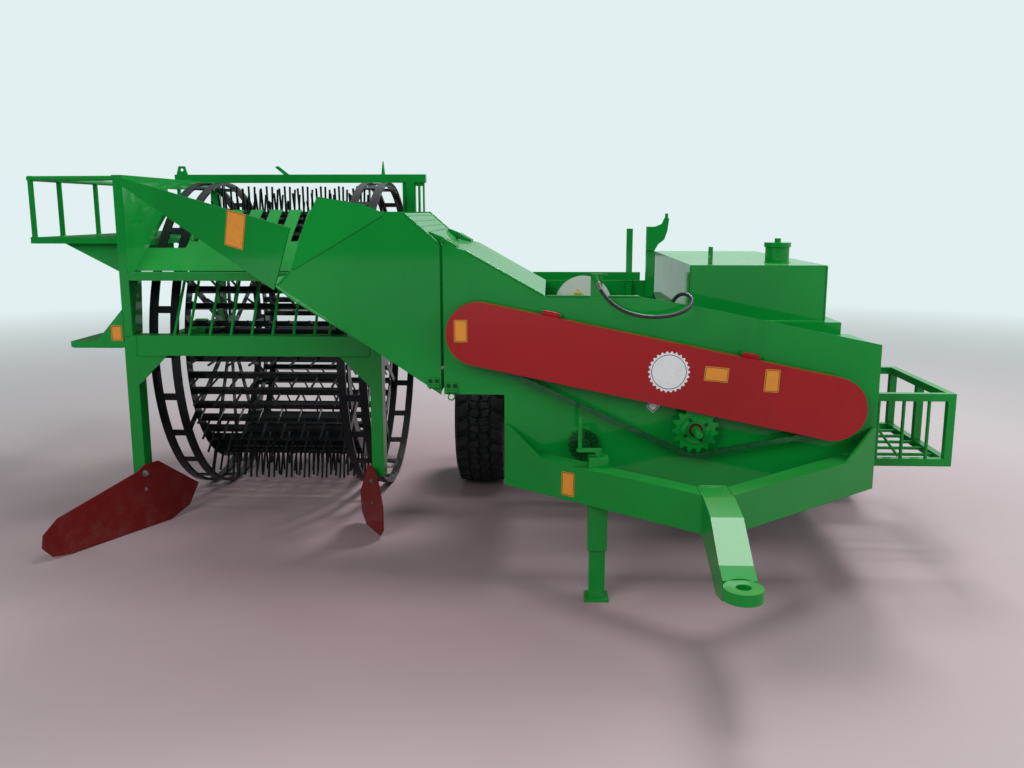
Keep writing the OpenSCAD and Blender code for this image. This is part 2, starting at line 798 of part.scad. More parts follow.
module side_arms() {
    color(green)
        for (x = [leg_out_x - leg_w / 2, leg_in_x + leg_w / 2 - arm_w])
            difference() {
                union() {
                    box([x, portal_rear, arm_z], [x + arm_w, rear_post_y + 50, arm_z + 100]);
                    bar_x(x, x + arm_w, drum_y, drum_z, 170);
                }
                bar_x(x - 1, x + arm_w + 1, drum_y, drum_z, drum_shaft_d + 1.5);
            }
}

module top_frame() {
    xl = outer_face;
    xr = leg_in_x + leg_w / 2 - arm_w;
    top = post_top + 50;
    y0 = rear_post_y;
    y1 = rear_post_y + 50;
    color(green) {
        for (x = [xl, xr])
            box([x, y0, arm_z + 100], [x + 50, y1, post_top + e]);
        box([xl - 220, y0, post_top], [xr + 120, y1, top]);
        box([xl, portal_front + post_w, post_top - 50], [xl + post_w, y0 + e, post_top]);
        box([xl, portal_front + post_w, walkway_z - 45], [xl + post_w, y0 + e, walkway_z - 5]);
        difference() {
            box([xr - 25, y0 + 10, 1530], [xr + 110, y1 - 10, post_top + e]);
            for (x = [xr + 55, xr + 84])
                box([x, y0, 1560], [x + 16, y1, post_top - 20]);
        }
        translate([xr - 145, y0 + 25, top - e]) cylinder(d1 = 24, d2 = 6, h = 80);
        difference() {
            plate_y(y0 + 20, 10, [[xl - 215, top - e], [xl - 145, top - e], [xl - 160, top + 52],
                                  [xl - 200, top + 52]]);
            bar_y(xl - 180, y0 + 19, y0 + 31, top + 30, 20);
        }
        plate_y(y0 + 20, 10, [[-1295, top - e], [-1262, top - e], [-1328, top + 52], [-1350, top + 46]]);
    }
}

// Middle of the hopper's front plate runs from the outer post to the chute's front
hopper_a = [outer_face, portal_front];
hopper_b = [-735, frame_front];
hopper_l = norm(hopper_b - hopper_a);
hopper_turn = atan2(hopper_b.y - hopper_a.y, hopper_b.x - hopper_a.x);
function hopper_y(x) = hopper_a.y + (x - hopper_a.x) * tan(hopper_turn);

// Folded lip along the plate's lower edge, clear of the post and of the chute's floor
lip_0 = 110;
lip_1 = (chute_x0 - 5 - hopper_a.x) * hopper_l / (hopper_b.x - hopper_a.x);
function lip_z(s) = post_top - 20 - s * (post_top - 20 - 1262) / (hopper_l - 110);

module hopper_front() {
    color(green) translate([hopper_a.x, hopper_a.y, 0]) rotate([0, 0, hopper_turn]) {
        plate_y(-sheet, sheet, [[0, post_top], [hopper_l, 1530], [hopper_l - 110, 1262], [0, post_top - 20]]);
        plate_y(-e, 45, [[lip_0, lip_z(lip_0) + 6], [lip_1, lip_z(lip_1) + 6], [lip_1, lip_z(lip_1)],
                         [lip_0, lip_z(lip_0)]]);
    }
}

// Sheet that closes the hopper's outer end, beside the cage wheel
module hopper_end() {
    color(green) plate_x(outer_face + post_w, sheet, [[portal_front, beam_top], [20, beam_top],
        [60, slide_z(60)], [460, slide_z(460)], [460, post_top], [portal_front, post_top]]);
}

// Positions of the tines along the drum, clear of the rods that stand next to the cage wheels
tines_l = cage_in - cage_out - 2 * (cage_w + rod_gap + rod_d + tine_gap + tine_d / 2);
tines = floor(tines_l / tine_pitch);
drum_mid = (cage_out + cage_in) / 2;
function tine_x(i) = drum_mid + (i - tines / 2) * tine_pitch;

module stripper_plate() {
    x0 = outer_face + post_w + sheet;
    x1 = leg_in_x - leg_w / 2 - 10;
    slot = 20;
    color(green) difference() {
        union() {
            plate_x(x0, x1 - x0, [[-20, 1305], [-12, 1305], [460, slide_z(460)], [457, slide_z(460) + 5],
                                  [-20, 1306]]);
            plate_y(portal_rear - sheet, sheet, [[chute_x0, 1305 + e], [x1, 1305 + e], [x1, chute_z(x1)]]);
        }
        for (i = [0 : tines])
            box([tine_x(i) - slot, 200, 1200], [tine_x(i) + slot, 600, 1700]);
        box([x0 - 1, 150, 1200], [cage_out + cage_w + 10, 600, 1700]);
        box([cage_in - cage_w - 10, 150, 1200], [x1 + 1, 600, 1700]);
    }
}

// Rods that lean back from the portal's beam to the stripper plate's fingers, between the tines
module grate_rods() {
    y0 = portal_front + 25;
    y1 = 250;
    ends = [cage_out + cage_w + rod_gap + rod_d / 2, cage_in - cage_w - rod_gap - rod_d / 2];
    between = [for (i = [0 : tines - 1]) (tine_x(i) + tine_x(i + 1)) / 2];
    color(green)
        for (x = concat(ends, between))
            intersection() {
                rod([x, y0 - 10, beam_top - 15], [x, y1 + 20, slide_z(y1) + 29], rod_d);
                plate_x(x - 10, 20, [[y0 - 40, beam_top], [y1 + 40, beam_top],
                                     [y1 + 40, slide_z(y1 + 40)], [y0 - 40, slide_z(y0 - 40)]]);
            }
}

module chute_floor() {
    t = sheet * 1.2;
    color(green) intersection() {
        plate_y(-1000, 2000, [[chute_x0, chute_z(chute_x0)], [chute_x1, chute_z(chute_x1)],
                              [chute_x1, chute_z(chute_x1) - t], [chute_x0, chute_z(chute_x0) - t]]);
        linear_extrude(2000) polygon([[chute_x0, hopper_y(chute_x0)], [-743, front_in], [chute_x1, front_in],
            [chute_x1, chute_rear_y], [leg_in_x - leg_w / 2 + 5, chute_rear_y],
            [leg_in_x - leg_w / 2 + 5, portal_rear - sheet], [chute_x0, portal_rear - sheet]]);
    }
}

module chute_front() {
    color(green) plate_y(frame_front, sheet, [[-808, 1289], [chute_x1, chute_z(chute_x1) - 20],
        [chute_x1, 1460], [-262, 1595], [-335, 1588], [-741, 1352]]);
}

module chute_hood() {
    a = [-335, 1588];
    b = [-741, 1352];
    turn = atan2(a.y - b.y, a.x - b.x);
    color(green) translate([b.x, frame_front + sheet, b.y]) rotate([0, -turn, 0]) rotate([-14, 0, 0])
        plate_y(-sheet, sheet, [[0, 0], [norm(a - b), 0], [norm(a - b) - 60, 80], [250, 215], [130, 130]]);
}

module chute_rear() {
    x0 = leg_in_x - leg_w / 2;
    color(green) {
        plate_y(chute_rear_y, sheet, [[x0, chute_z(x0)], [chute_x1, chute_z(chute_x1)],
                                      [chute_x1, 1460], [-262, 1595], [x0, 1595]]);
        box([x0, portal_rear, chute_z(x0) + sheet], [x0 + sheet, chute_rear_y, 1400]);
    }
}

module chute_cover() {
    color(green) {
        plate_y(front_in, chute_rear_y - front_in, [[-262, 1590], [chute_x1, 1455], [chute_x1, 1449],
                                                    [-262, 1584]]);
        for (i = [0 : 3]) {
            x = -250 + i * 26;
            z = 1590 + (-262 - x) * 135 / 155 - 1;
            bar_y(x, front_in, chute_rear_y, z, 8, 16);
        }
    }
}

module walkway() {
    xr = outer_face;
    pans = 5;
    y0 = portal_rear - 10;
    dy = (walkway_y - 10 - y0) / pans;
    color(green) {
        difference() {
            box([walkway_x, portal_rear - 40, walkway_z - 30], [xr, walkway_y, walkway_z]);
            for (i = [0 : pans - 1])
                box([walkway_x + 30, y0 + i * dy, walkway_z - 31],
                    [xr - 20, y0 + (i + 1) * dy - 20, walkway_z - 4]);
        }
        for (y = [portal_rear, 600, rear_post_y])
            plate_y(y, 8, [[xr, walkway_z - 30 + e], [walkway_x + 150, walkway_z - 30 + e],
                           [xr, walkway_z - 190]]);
        box([xr - 270, portal_front, 932], [xr, 230, 960]);
        plate_y(portal_front, 8, [[xr, 960 - e], [xr - 140, 960 - e], [xr, 1120]]);
    }
}

module walkway_rail() {
    x = walkway_x + 15;
    y0 = portal_rear - 25;
    z = post_top - 15;
    d = 26;
    color(green) difference() {
        union() {
            for (y = [y0, 240, 640, 1040, 1440, walkway_y - 15])
                translate([x, y, walkway_z]) cylinder(d = d, h = z - walkway_z);
            bar_y(x, y0 - d / 2, walkway_y - 2, z, d);
            rod([x, y0, z], [outer_face + post_w / 2, portal_front + post_w / 2, z], d - 2);
        }
        box([outer_face, portal_front, z - d], [outer_face + post_w, portal_front + post_w, z + d]);
    }
}

// Row divider with its outline in Y and Z, hung on a leg's corner at x and splayed by turn
module divider(x, turn, side, outline) {
    color(dark_red) translate([x, portal_front, 2]) rotate([0, 0, turn])
        plate_x(side > 0 ? 0.3 : -8.3, 8, outline);
}

module divider_outer() {
    divider(outer_face + leg_w, -27, 1, [[140, 0], [265, 45], [335, 150], [80, 330], [0, 330], [-60, 300],
                                         [-510, 190], [-590, 130], [-600, 70], [-550, 15], [-450, 0]]);
}

module divider_inner() {
    divider(leg_in_x - leg_w / 2, 30, -1, [[90, 0], [160, 50], [175, 150], [50, 330], [-30, 330], [-80, 290],
                                           [-150, 160], [-150, 40], [-110, 0]]);
}

// Drum

module drum_shaft() {
    color(black) bar_x(leg_out_x - leg_w / 2 - 15, leg_in_x + leg_w / 2 + 15, drum_y, drum_z, drum_shaft_d);
}

// Hoop of outer radius r, radial thickness t and width w, from x
module hoop(x, w, r, t) {
    translate([x, drum_y, drum_z]) rotate([0, 90, 0]) difference() {
        cylinder(r = r, h = w, $fn = 180);
        translate([0, 0, -1]) cylinder(r = r - t, h = w + 2, $fn = 180);
    }
}

hoop_t = 14;
hoop_w = 42;
plate_t = 6;
hub_r = drum_shaft_d / 2 + 30;
rake_x0 = cage_out + cage_w - 18;
rake_x1 = cage_in - cage_w + 18;

// Each cage wheel: its lower side in X, the rake bars' end that it carries, and the way out from there
cages = [[cage_out, rake_x0, -1], [cage_in - cage_w, rake_x1, 1]];

// Lower side in X of a plate that starts d beyond a wheel's rake bars
function plate_at(cage, d) = cage[2] > 0 ? cage[1] + d : cage[1] - d - plate_t;

// Two hoops a side, joined by the slats that the wheel rolls on
module cage_rims() {
    r = drum_d / 2;
    color(black)
        for (cage = cages) {
            for (x = [cage[0], cage[0] + cage_w - hoop_w])
                hoop(x, hoop_w, r, hoop_t);
            for (i = [0 : 2 * spokes - 1])
                translate([cage[0], drum_y, drum_z]) rotate([i * 180 / spokes, 0, 0])
                    translate([0, -18, r - 13]) cube([cage_w, 36, 9]);
        }
}

// Hubs with their flanges, and the rings that carry the rake bars
module cage_plates() {
    color(black)
        for (cage = cages) {
            hoop(plate_at(cage, 0), plate_t, rake_r + 35, 70);
            hoop(plate_at(cage, 0), plate_t, hub_r + 60, hub_r + 60 - drum_shaft_d / 2);
            hoop(cage[1] - (cage[2] > 0 ? 30 : 42), 72, hub_r, hub_r - drum_shaft_d / 2);
        }
}

// Flat spokes on the flanges and rings, out to the hoops
module cage_spokes() {
    w = 40;
    color(black)
        for (cage = cages)
            intersection() {
                for (i = [0 : spokes - 1])
                    translate([plate_at(cage, plate_t), drum_y, drum_z]) rotate([i * 360 / spokes, 0, 0])
                        translate([0, -w / 2, hub_r + 20]) cube([plate_t, w, drum_d / 2]);
                bar_x(cage[0], cage[0] + cage_w, drum_y, drum_z, drum_d - 2 * hoop_t, 180);
            }
}

// Every second rake bar with its tines, from the bar numbered first
module rakes(first) {
    bar = 30;
    color(black)
        for (k = [first : 2 : rake_bars - 1])
            translate([0, drum_y, drum_z]) rotate([(k + 0.5) * 360 / rake_bars, 0, 0]) {
                translate([rake_x0, -bar / 2, rake_r - bar / 2]) cube([rake_x1 - rake_x0, bar, bar]);
                for (i = [0 : tines])
                    translate([tine_x(i), 0, rake_r]) cylinder(d = tine_d, h = tine_r - rake_r, $fn = 16);
            }
}

module rakes_even() { rakes(0); }
module rakes_odd() { rakes(1); }

side_rails();
cross_members();
drawbar_arms();
tongue();
hitch_eye();
jack_tube();
jack_leg();
axle_beam();
tyre_right();
rim_right();
tyre_left();
rim_left();
body_front();
body_inner_wall();
body_rear_wall();
body_cover();
outlet_cover();
rear_deck();
separating_web();
web_rollers();
pto_shaft();
drive_sprockets();
drive_chain();
drive_guard();
guard_pins();
tank();
tank_cap();
tank_shelf();
bag_platform();
bag_rail();
hose_uprights();
hydraulic_hose();
marker_disc();
fold_hinge();
portal_legs();
portal_beam();
side_arms();
top_frame();
hopper_front();
hopper_end();
stripper_plate();
grate_rods();
chute_floor();
chute_front();
chute_hood();
chute_rear();
chute_cover();
walkway();
walkway_rail();
divider_outer();
divider_inner();
fold_knuckles();
drum_shaft();
cage_rims();
cage_spokes();
cage_plates();
rakes_even();
rakes_odd();
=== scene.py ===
"""Looks of the towed potato harvester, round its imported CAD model.

Metres, +X to the machine's left side, -Y forward to the tractor, +Z up.
"""

import json
import math
import random

import bmesh
import bpy
from mathutils import Matrix, Vector


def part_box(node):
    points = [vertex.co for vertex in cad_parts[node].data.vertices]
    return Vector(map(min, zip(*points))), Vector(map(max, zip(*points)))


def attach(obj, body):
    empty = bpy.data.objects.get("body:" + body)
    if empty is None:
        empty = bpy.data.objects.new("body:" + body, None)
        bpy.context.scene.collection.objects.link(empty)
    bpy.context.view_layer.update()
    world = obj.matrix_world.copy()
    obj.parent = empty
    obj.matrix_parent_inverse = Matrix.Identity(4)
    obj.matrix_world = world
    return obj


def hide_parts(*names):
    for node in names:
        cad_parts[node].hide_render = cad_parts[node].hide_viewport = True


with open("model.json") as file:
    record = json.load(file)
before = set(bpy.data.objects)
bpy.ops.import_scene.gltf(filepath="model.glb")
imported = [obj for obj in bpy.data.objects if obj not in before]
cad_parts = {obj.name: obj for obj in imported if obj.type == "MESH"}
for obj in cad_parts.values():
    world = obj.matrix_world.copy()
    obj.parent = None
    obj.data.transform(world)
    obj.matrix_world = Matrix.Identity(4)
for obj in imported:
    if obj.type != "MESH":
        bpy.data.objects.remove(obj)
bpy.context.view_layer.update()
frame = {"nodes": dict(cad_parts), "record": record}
NODES = frame["nodes"]
scene = bpy.context.scene

# Camera, as the photo was taken
PHOTO_WIDTH_PX = 1024
FOCAL_PX = 947
SENSOR = 36
EYE = Vector((0.355, -4.69, 1.60))
PITCH_DOWN = 10.37
YAW_LEFT = 2.25
CLIP_NEAR, CLIP_FAR = 0.05, 200


def make_camera():
    data = bpy.data.cameras.new("camera")
    data.sensor_width = SENSOR
    data.lens = FOCAL_PX / PHOTO_WIDTH_PX * SENSOR
    data.clip_start, data.clip_end = CLIP_NEAR, CLIP_FAR
    camera = bpy.data.objects.new("camera", data)
    camera.location = EYE
    camera.rotation_euler = (math.radians(90 - PITCH_DOWN), 0, math.radians(YAW_LEFT))
    scene.collection.objects.link(camera)
    scene.camera = camera


make_camera()

UP = Vector((0, 0, 1))
FORWARD = Vector((0, -1, 0))
REARWARD = Vector((0, 1, 0))

# Wheels
WHEEL_X = {"right": -0.03, "left": 1.94}
TYRE_LOW, TYRE_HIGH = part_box("tyre_right")
TYRE_R = TYRE_HIGH.z / 2
TYRE_HALF = (TYRE_HIGH.x - TYRE_LOW.x) / 2
AXLE = Vector((0, 0.86, TYRE_R))

# Body: its front face, its rails' top, and the back of its inner wall, where the disc's pin ends
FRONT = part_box("body_front")[0].y
RAIL_TOP = 0.570
INNER_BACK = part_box("marker_disc")[1].y
TANK_LOW, TANK_HIGH = Vector((1.015, -0.210, 1.090)), Vector((1.645, 1.360, 1.350))
TANK_MID_X, TANK_MID_Y = 1.33, 0.575

# Drive: the web's two shafts, the PTO stub, and the guard over the chain between them
WEB_IN = Vector((0.055, 0, 1.090))
WEB_OUT = Vector((1.555, 0, 0.780))
PTO = Vector((0.980, 0, 0.684))
GUARD_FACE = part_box("drive_guard")[0].y
GUARD_TILT = math.atan2(WEB_IN.z - WEB_OUT.z, WEB_OUT.x - WEB_IN.x)

# Pickup unit: the drum's axis, the frame's boxes, and the sides of its legs and of its outer post
DRUM = Vector((0, 0.88, 0.88))
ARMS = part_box("side_arms")
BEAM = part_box("portal_beam")
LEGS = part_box("portal_legs")
LEG_W = 0.060
POST_W = 0.040
BEAM_TOP = 0.990
OUTER_FACE = LEGS[0].x


# Mesh helpers


def link_piece(name, data, material, body):
    """A new visible piece that rides on that body of the CAD model."""
    piece = bpy.data.objects.new(name, data)
    scene.collection.objects.link(piece)
    data.materials.append(material)
    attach(piece, body)
    return piece


def finish_mesh(bm, name, material, body, smooth=30):
    """The bmesh as a piece, shaded smooth where its faces turn by less than smooth degrees."""
    bmesh.ops.recalc_face_normals(bm, faces=bm.faces)
    limit = math.radians(smooth)
    for face in bm.faces:
        face.smooth = True
    for edge in bm.edges:
        edge.smooth = len(edge.link_faces) == 2 and edge.calc_face_angle(0) < limit
    data = bpy.data.meshes.new(name)
    bm.to_mesh(data)
    bm.free()
    return link_piece(name, data, material, body)


def around(count, phase=0.0):
    """Angles of as many equal steps round a full turn, the first one at phase."""
    return [phase + 2 * math.pi * k / count for k in range(count)]


def circle(radius, count, phase=0.0):
    """Points round a circle, as (x, y)."""
    return [(radius * math.cos(a), radius * math.sin(a)) for a in around(count, phase)]


def turn_to(direction):
    """The matrix that turns +Z to that direction."""
    return Vector(direction).to_track_quat("Z", "Y").to_matrix().to_4x4()


def plane_at(centre, out, up=UP):
    """The place whose Z axis faces out and whose Y axis leans towards up."""
    out = Vector(out).normalized()
    side = Vector(up).cross(out).normalized()
    turn = Matrix((side, out.cross(side), out)).transposed().to_4x4()
    return Matrix.Translation(centre) @ turn


def rounded(width, height, corner, steps=5):
    """Outline of a rectangle with round corners."""
    points = []
    for k, (x, y) in enumerate(((1, 1), (-1, 1), (-1, -1), (1, -1))):
        for i in range(steps):
            a = math.pi / 2 * (k + i / (steps - 1))
            points.append((x * (width / 2 - corner) + corner * math.cos(a),
                           y * (height / 2 - corner) + corner * math.sin(a)))
    return points


def loop_at(bm, place, outline, height):
    """Vertices along an outline in place's XY, at that height over it."""
    return [bm.verts.new(place @ Vector((x, y, height))) for x, y in outline]


def bridge(bm, a, b):
    count = len(a)
    for i in range(count):
        j = (i + 1) % count
        bm.faces.new((a[i], a[j], b[j], b[i]))


def skin(bm, loops):
    """Faces from loop to loop, and a cap on the first and the last."""
    for a, b in zip(loops, loops[1:]):
        bridge(bm, a, b)
    bm.faces.new(loops[0])
    bm.faces.new(loops[-1])


def skin_closed(bm, loops):
    """Faces from loop to loop, and from the last to the first."""
    for a, b in zip(loops, loops[1:] + loops[:1]):
        bridge(bm, a, b)


def add_lathe(bm, place, profile, sides=24, phase=0.0):
    """A closed body turned round place's Z axis; profile is (radius, height) from cap to cap."""
    skin(bm, [loop_at(bm, place, circle(radius, sides, phase), height)
              for radius, height in profile])


def add_ring(bm, place, section, sides=48):
    """A ring round place's Z axis; section is (radius, height) round its cross-section."""
    skin_closed(bm, [loop_at(bm, place, circle(radius, sides), height)
                     for radius, height in section])


def add_band(bm, place, outer, inner, low, high):
    """The band between two outlines of as many points, from place's Z low to high."""
    skin_closed(bm, [loop_at(bm, place, outline, height) for outline, height in
                     ((outer, low), (outer, high), (inner, high), (inner, low))])


def add_prism(bm, place, outline, depth):
    """The outline, points in place's XY, as a plate from its Z 0 to depth."""
    skin(bm, [loop_at(bm, place, outline, height) for height in (0, depth)])


def add_block(bm, low, high):
    """A box with its upright edges a little rounded."""
    edge = 0.002
    width, length, height = (b - a for a, b in zip(low, high))
    foot = ((low[0] + high[0]) / 2, (low[1] + high[1]) / 2, low[2])
    add_prism(bm, Matrix.Translation(foot), rounded(width, length, edge), height)


def add_bolt(bm, point, out, size):
    """Hexagon head on a washer at that point, facing out, with size across its flats."""
    place = Matrix.Translation(point) @ turn_to(out)
    washer, corner, thread = size * 0.72, size / math.sqrt(3), size * 0.29
    washer_top, head_top = size * 0.14, size * 0.64
    add_lathe(bm, place, [(washer, 0), (washer, size * 0.10), (size * 0.68, washer_top)], 20)
    add_lathe(bm, place, [(corner, washer_top), (corner, size * 0.55),
                          (corner * 0.86, head_top)], 6, 0.3)
    add_lathe(bm, place, [(thread, size * 0.6), (thread, size * 0.8),
                          (size * 0.24, size * 0.86)], 12)


def add_bolt_circle(bm, place, out, radius, height, phase, size):
    """Four bolts round place's Z axis, at that height over it."""
    for x, y in circle(radius, 4, phase):
        add_bolt(bm, place @ Vector((x, y, height)), out, size)


BEAD_W = 0.008
BEAD_STEP = 0.0055
BEAD_SIDES = 7


def add_bead(bm, start, end, out):
    """Weld bead from start to end: rippled rings that lie in the corner facing out."""
    start, end = Vector(start), Vector(end)
    run = end - start
    count = max(3, int(run.length / BEAD_STEP))
    out = Vector(out).normalized()
    across = run.normalized().cross(out)
    rings = []
    for i in range(count + 1):
        taper = min(1, i / 2 + 0.25, (count - i) / 2 + 0.25)
        ripple = 1 + (0.16 if i % 2 else -0.1) + random.uniform(-0.07, 0.07)
        radius = BEAD_W / 2 * taper * ripple
        centre = start + run * (i / count)
        rings.append([
            bm.verts.new(centre + radius * (math.cos(a) * across * 1.15 + math.sin(a) * out))
            for a in around(BEAD_SIDES)])
    skin(bm, rings)


# Materials


class Nodes:
    """The node tree of a material or a world, with short ways to add nodes."""

    def __init__(self, owner):
        owner.use_nodes = True
        self.tree = owner.node_tree
        self.coords = self.tree.nodes.new("ShaderNodeTexCoord")

    def wire(self, source, target):
        self.tree.links.new(source, target)

    def feed(self, socket, value):
        """Sets the socket to a number or a colour, or wires it to an output."""
        if isinstance(value, (int, float)):
            socket.default_value = value
        elif isinstance(value, tuple):
            socket.default_value = (*value, 1)
        else:
            self.wire(value, socket)

    def node(self, kind, **inputs):
        node = self.tree.nodes.new("ShaderNode" + kind)
        for key, value in inputs.items():
            node.inputs[key.replace("_", " ")].default_value = value
        return node

    def vector_math(self, operation, source):
        node = self.node("VectorMath")
        node.operation = operation
        self.wire(source, node.inputs[0])
        return node

    def math(self, operation, a, b):
        node = self.node("Math")
        node.operation = operation
        for socket, value in zip(node.inputs, (a, b)):
            self.feed(socket, value)
        return node.outputs["Value"]

    def times(self, a, b):
        return self.math("MULTIPLY", a, b)

    def ramp(self, source, low, high, out_low=0.0, out_high=1.0):
        node = self.node("MapRange", From_Min=low, From_Max=high,
                         To_Min=out_low, To_Max=out_high)
        self.wire(source, node.inputs["Value"])
        return node.outputs["Result"]

    def ray(self, *kinds):
        """1 for rays of that kind or of either of two kinds, else 0."""
        path = self.node("LightPath")
        found = [path.outputs["Is %s Ray" % kind] for kind in kinds]
        return self.math("MAXIMUM", *found) if len(found) == 2 else found[0]

    def blend(self, factor, a, b, output):
        """The tree's surface, from shader a to shader b by factor."""
        mix = self.node("MixShader")
        for socket, source in zip(mix.inputs, (factor, a, b)):
            self.wire(source, socket)
        self.wire(mix.outputs["Shader"], self.tree.nodes[output].inputs["Surface"])


class Shader(Nodes):
    """A material, with short ways to reach its main node."""

    def __init__(self, name):
        self.material = bpy.data.materials.new(name)
        super().__init__(self.material)
        self.main = self.tree.nodes["Principled BSDF"]

    def set(self, **values):
        for key, value in values.items():
            self.main.inputs[key.replace("_", " ")].default_value = value

    def colour(self, source):
        self.wire(source, self.main.inputs["Base Color"])

    def rough(self, source):
        self.wire(source, self.main.inputs["Roughness"])

    def noise(self, scale, detail=3.0, rough=0.5, stretch=None):
        node = self.node("TexNoise", Scale=scale, Detail=detail, Roughness=rough)
        source = self.coords.outputs["Object"]
        if stretch:
            mapping = self.node("Mapping", Scale=stretch)
            self.wire(source, mapping.inputs["Vector"])
            source = mapping.outputs["Vector"]
        self.wire(source, node.inputs["Vector"])
        return node.outputs["Fac"]

    def mix(self, factor, a, b):
        node = self.node("Mix")
        node.data_type = "RGBA"
        for key, value in (("Factor", factor), ("A", a), ("B", b)):
            self.feed(node.inputs[key], value)
        return node.outputs["Result"]

    def upward(self, coords):
        """The Z part of those coordinates."""
        split = self.node("SeparateXYZ")
        self.wire(self.coords.outputs[coords], split.inputs["Vector"])
        return split.outputs["Z"]

    def bump(self, *layers, round_edges=0.0):
        """Layers of (height, strength, distance), over edges rounded by that radius."""
        normal = None
        if round_edges:
            bevel = self.node("Bevel", Radius=round_edges)
            bevel.samples = 4
            normal = bevel.outputs["Normal"]
        for height, strength, distance in layers:
            node = self.node("Bump", Strength=strength, Distance=distance)
            self.wire(height, node.inputs["Height"])
            if normal:
                self.wire(normal, node.inputs["Normal"])
            normal = node.outputs["Normal"]
        self.wire(normal, self.main.inputs["Normal"])


BACKGROUND = (0.76, 0.87, 0.88, 1)
DUST = (0.34, 0.27, 0.24)
RUBBER_DUST = (0.20, 0.165, 0.15)
CHIP = (0.075, 0.055, 0.045)
RUST = (0.17, 0.075, 0.035)
# Heights where the dirt on paint ends and where it is full
DIRT_TOP, DIRT_FULL = 0.35, 0.02


def scaled(colour, factor):
    return tuple(c * factor for c in colour)


def paint(name, colour, deep, roughness=0.45, dust=0.11, coat=0.5, chips=0.5):
    """Gloss paint on steel: two tones, streaks, dust on top and low down, and small chips."""
    s = Shader(name)
    s.set(Coat_Weight=coat, Coat_Roughness=0.06, Specular_IOR_Level=0.05)
    # Two tones in broad patches, and darker upright streaks
    body = s.mix(s.ramp(s.noise(1.6, 2), 0.3, 0.7), colour, deep)
    streak = s.ramp(s.noise(9, 4, 0.6, (1, 1, 0.16)), 0.56, 0.8, 0, 0.28)
    body = s.mix(streak, body, scaled(deep, 0.55))
    # Patches of dust on what faces up, and of dirt near the ground
    top = s.times(s.ramp(s.upward("Normal"), 0.5, 0.95),
                  s.ramp(s.noise(7, 5, 0.65), 0.35, 0.75, 0.2, 1))
    low = s.times(s.ramp(s.upward("Object"), DIRT_TOP, DIRT_FULL),
                  s.ramp(s.noise(12, 5, 0.7), 0.45, 0.75))
    dirt = s.times(s.math("MAXIMUM", s.times(top, 0.55), low), dust)
    body = s.mix(dirt, body, DUST)
    # Chips, which also show in the relief below
    chip = s.times(s.ramp(s.noise(34, 6, 0.75), 0.735, 0.755), chips)
    s.colour(s.mix(chip, body, CHIP))
    gloss = s.ramp(s.noise(5, 4), 0.3, 0.7, roughness - 0.05, roughness + 0.07)
    s.rough(s.math("ADD", gloss, dirt))
    s.bump((s.noise(2.2, 1), 0.55, 0.010), (s.noise(260, 2), 0.08, 0.0010),
           (chip, 0.5, -0.0006), round_edges=0.0025)
    return s.material


def worn_steel(name, colour=(0.30, 0.29, 0.27), rust=0.35, roughness=0.36):
    """Bare steel with a grey film, fine scratches and rust spots."""
    s = Shader(name)
    s.set(Metallic=0.85)
    spots = s.times(s.ramp(s.noise(22, 6, 0.7), 0.50, 0.66), rust)
    film = s.mix(s.ramp(s.noise(60, 3), 0.3, 0.7), colour, scaled(colour, 0.6))
    s.colour(s.mix(spots, film, RUST))
    scratches = s.ramp(s.noise(160, 2, 0.5, (1, 1, 0.1)), 0.3, 0.7, roughness, roughness + 0.2)
    s.rough(s.math("ADD", scratches, spots))
    s.bump((s.noise(400, 2), 0.15, 0.0006), (spots, 0.4, 0.0006), round_edges=0.0012)
    return s.material


def rubber(name, colour=(0.0045, 0.0075, 0.0085), dust=0.25, roughness=0.62):
    """Black rubber with patches of grey dust."""
    s = Shader(name)
    base = s.mix(s.ramp(s.noise(14, 4), 0.3, 0.7), colour, scaled(colour, 2.0))
    dirt = s.times(s.ramp(s.noise(18, 6, 0.7), 0.42, 0.72), dust)
    s.colour(s.mix(s.times(dirt, 0.5), base, RUBBER_DUST))
    s.rough(s.ramp(s.noise(30, 3), 0.3, 0.7, roughness, roughness + 0.18))
    s.bump((s.noise(500, 3), 0.25, 0.0008))
    return s.material


def plain_sign(name, colour, worn):
    """Printed foil with a faint sheen and worn spots."""
    s = Shader(name)
    s.set(Coat_Weight=0.3, Coat_Roughness=0.2)
    s.colour(s.mix(s.ramp(s.noise(40, 4), 0.45, 0.75, 0, 0.35), colour, worn))
    s.rough(s.ramp(s.noise(90, 2), 0.3, 0.7, 0.38, 0.5))
    s.bump((s.noise(30, 2), 0.12, 0.001))
    return s.material


def concrete():
    """Pinkish floor with soft blotches and painted shade: darker and pinker near the machine and
    paler further off, and it fades into the background.
    """
    shade_r, pale_r, far_r = 1.3, 4.0, 13.0
    s = Shader("floor")
    away = s.vector_math("LENGTH", s.coords.outputs["Object"]).outputs["Value"]
    blotch = s.ramp(s.noise(0.9, 4, 0.6), 0.3, 0.7)
    # Painted shade: the floor is darker and pinker round the machine, then turns to its paler far
    # tone further off
    near = s.mix(blotch, (0.350, 0.250, 0.270), (0.315, 0.225, 0.245))
    s.colour(s.mix(s.ramp(away, shade_r, pale_r), near, (0.500, 0.450, 0.462)))
    s.set(Roughness=0.8)
    s.bump((s.noise(90, 4), 0.15, 0.002))
    haze = s.node("Emission", Color=BACKGROUND)
    far = s.times(s.ramp(away, pale_r, far_r), s.ray("Camera", "Glossy"))
    s.blend(far, s.main.outputs["BSDF"], haze.outputs["Emission"], "Material Output")
    return s.material


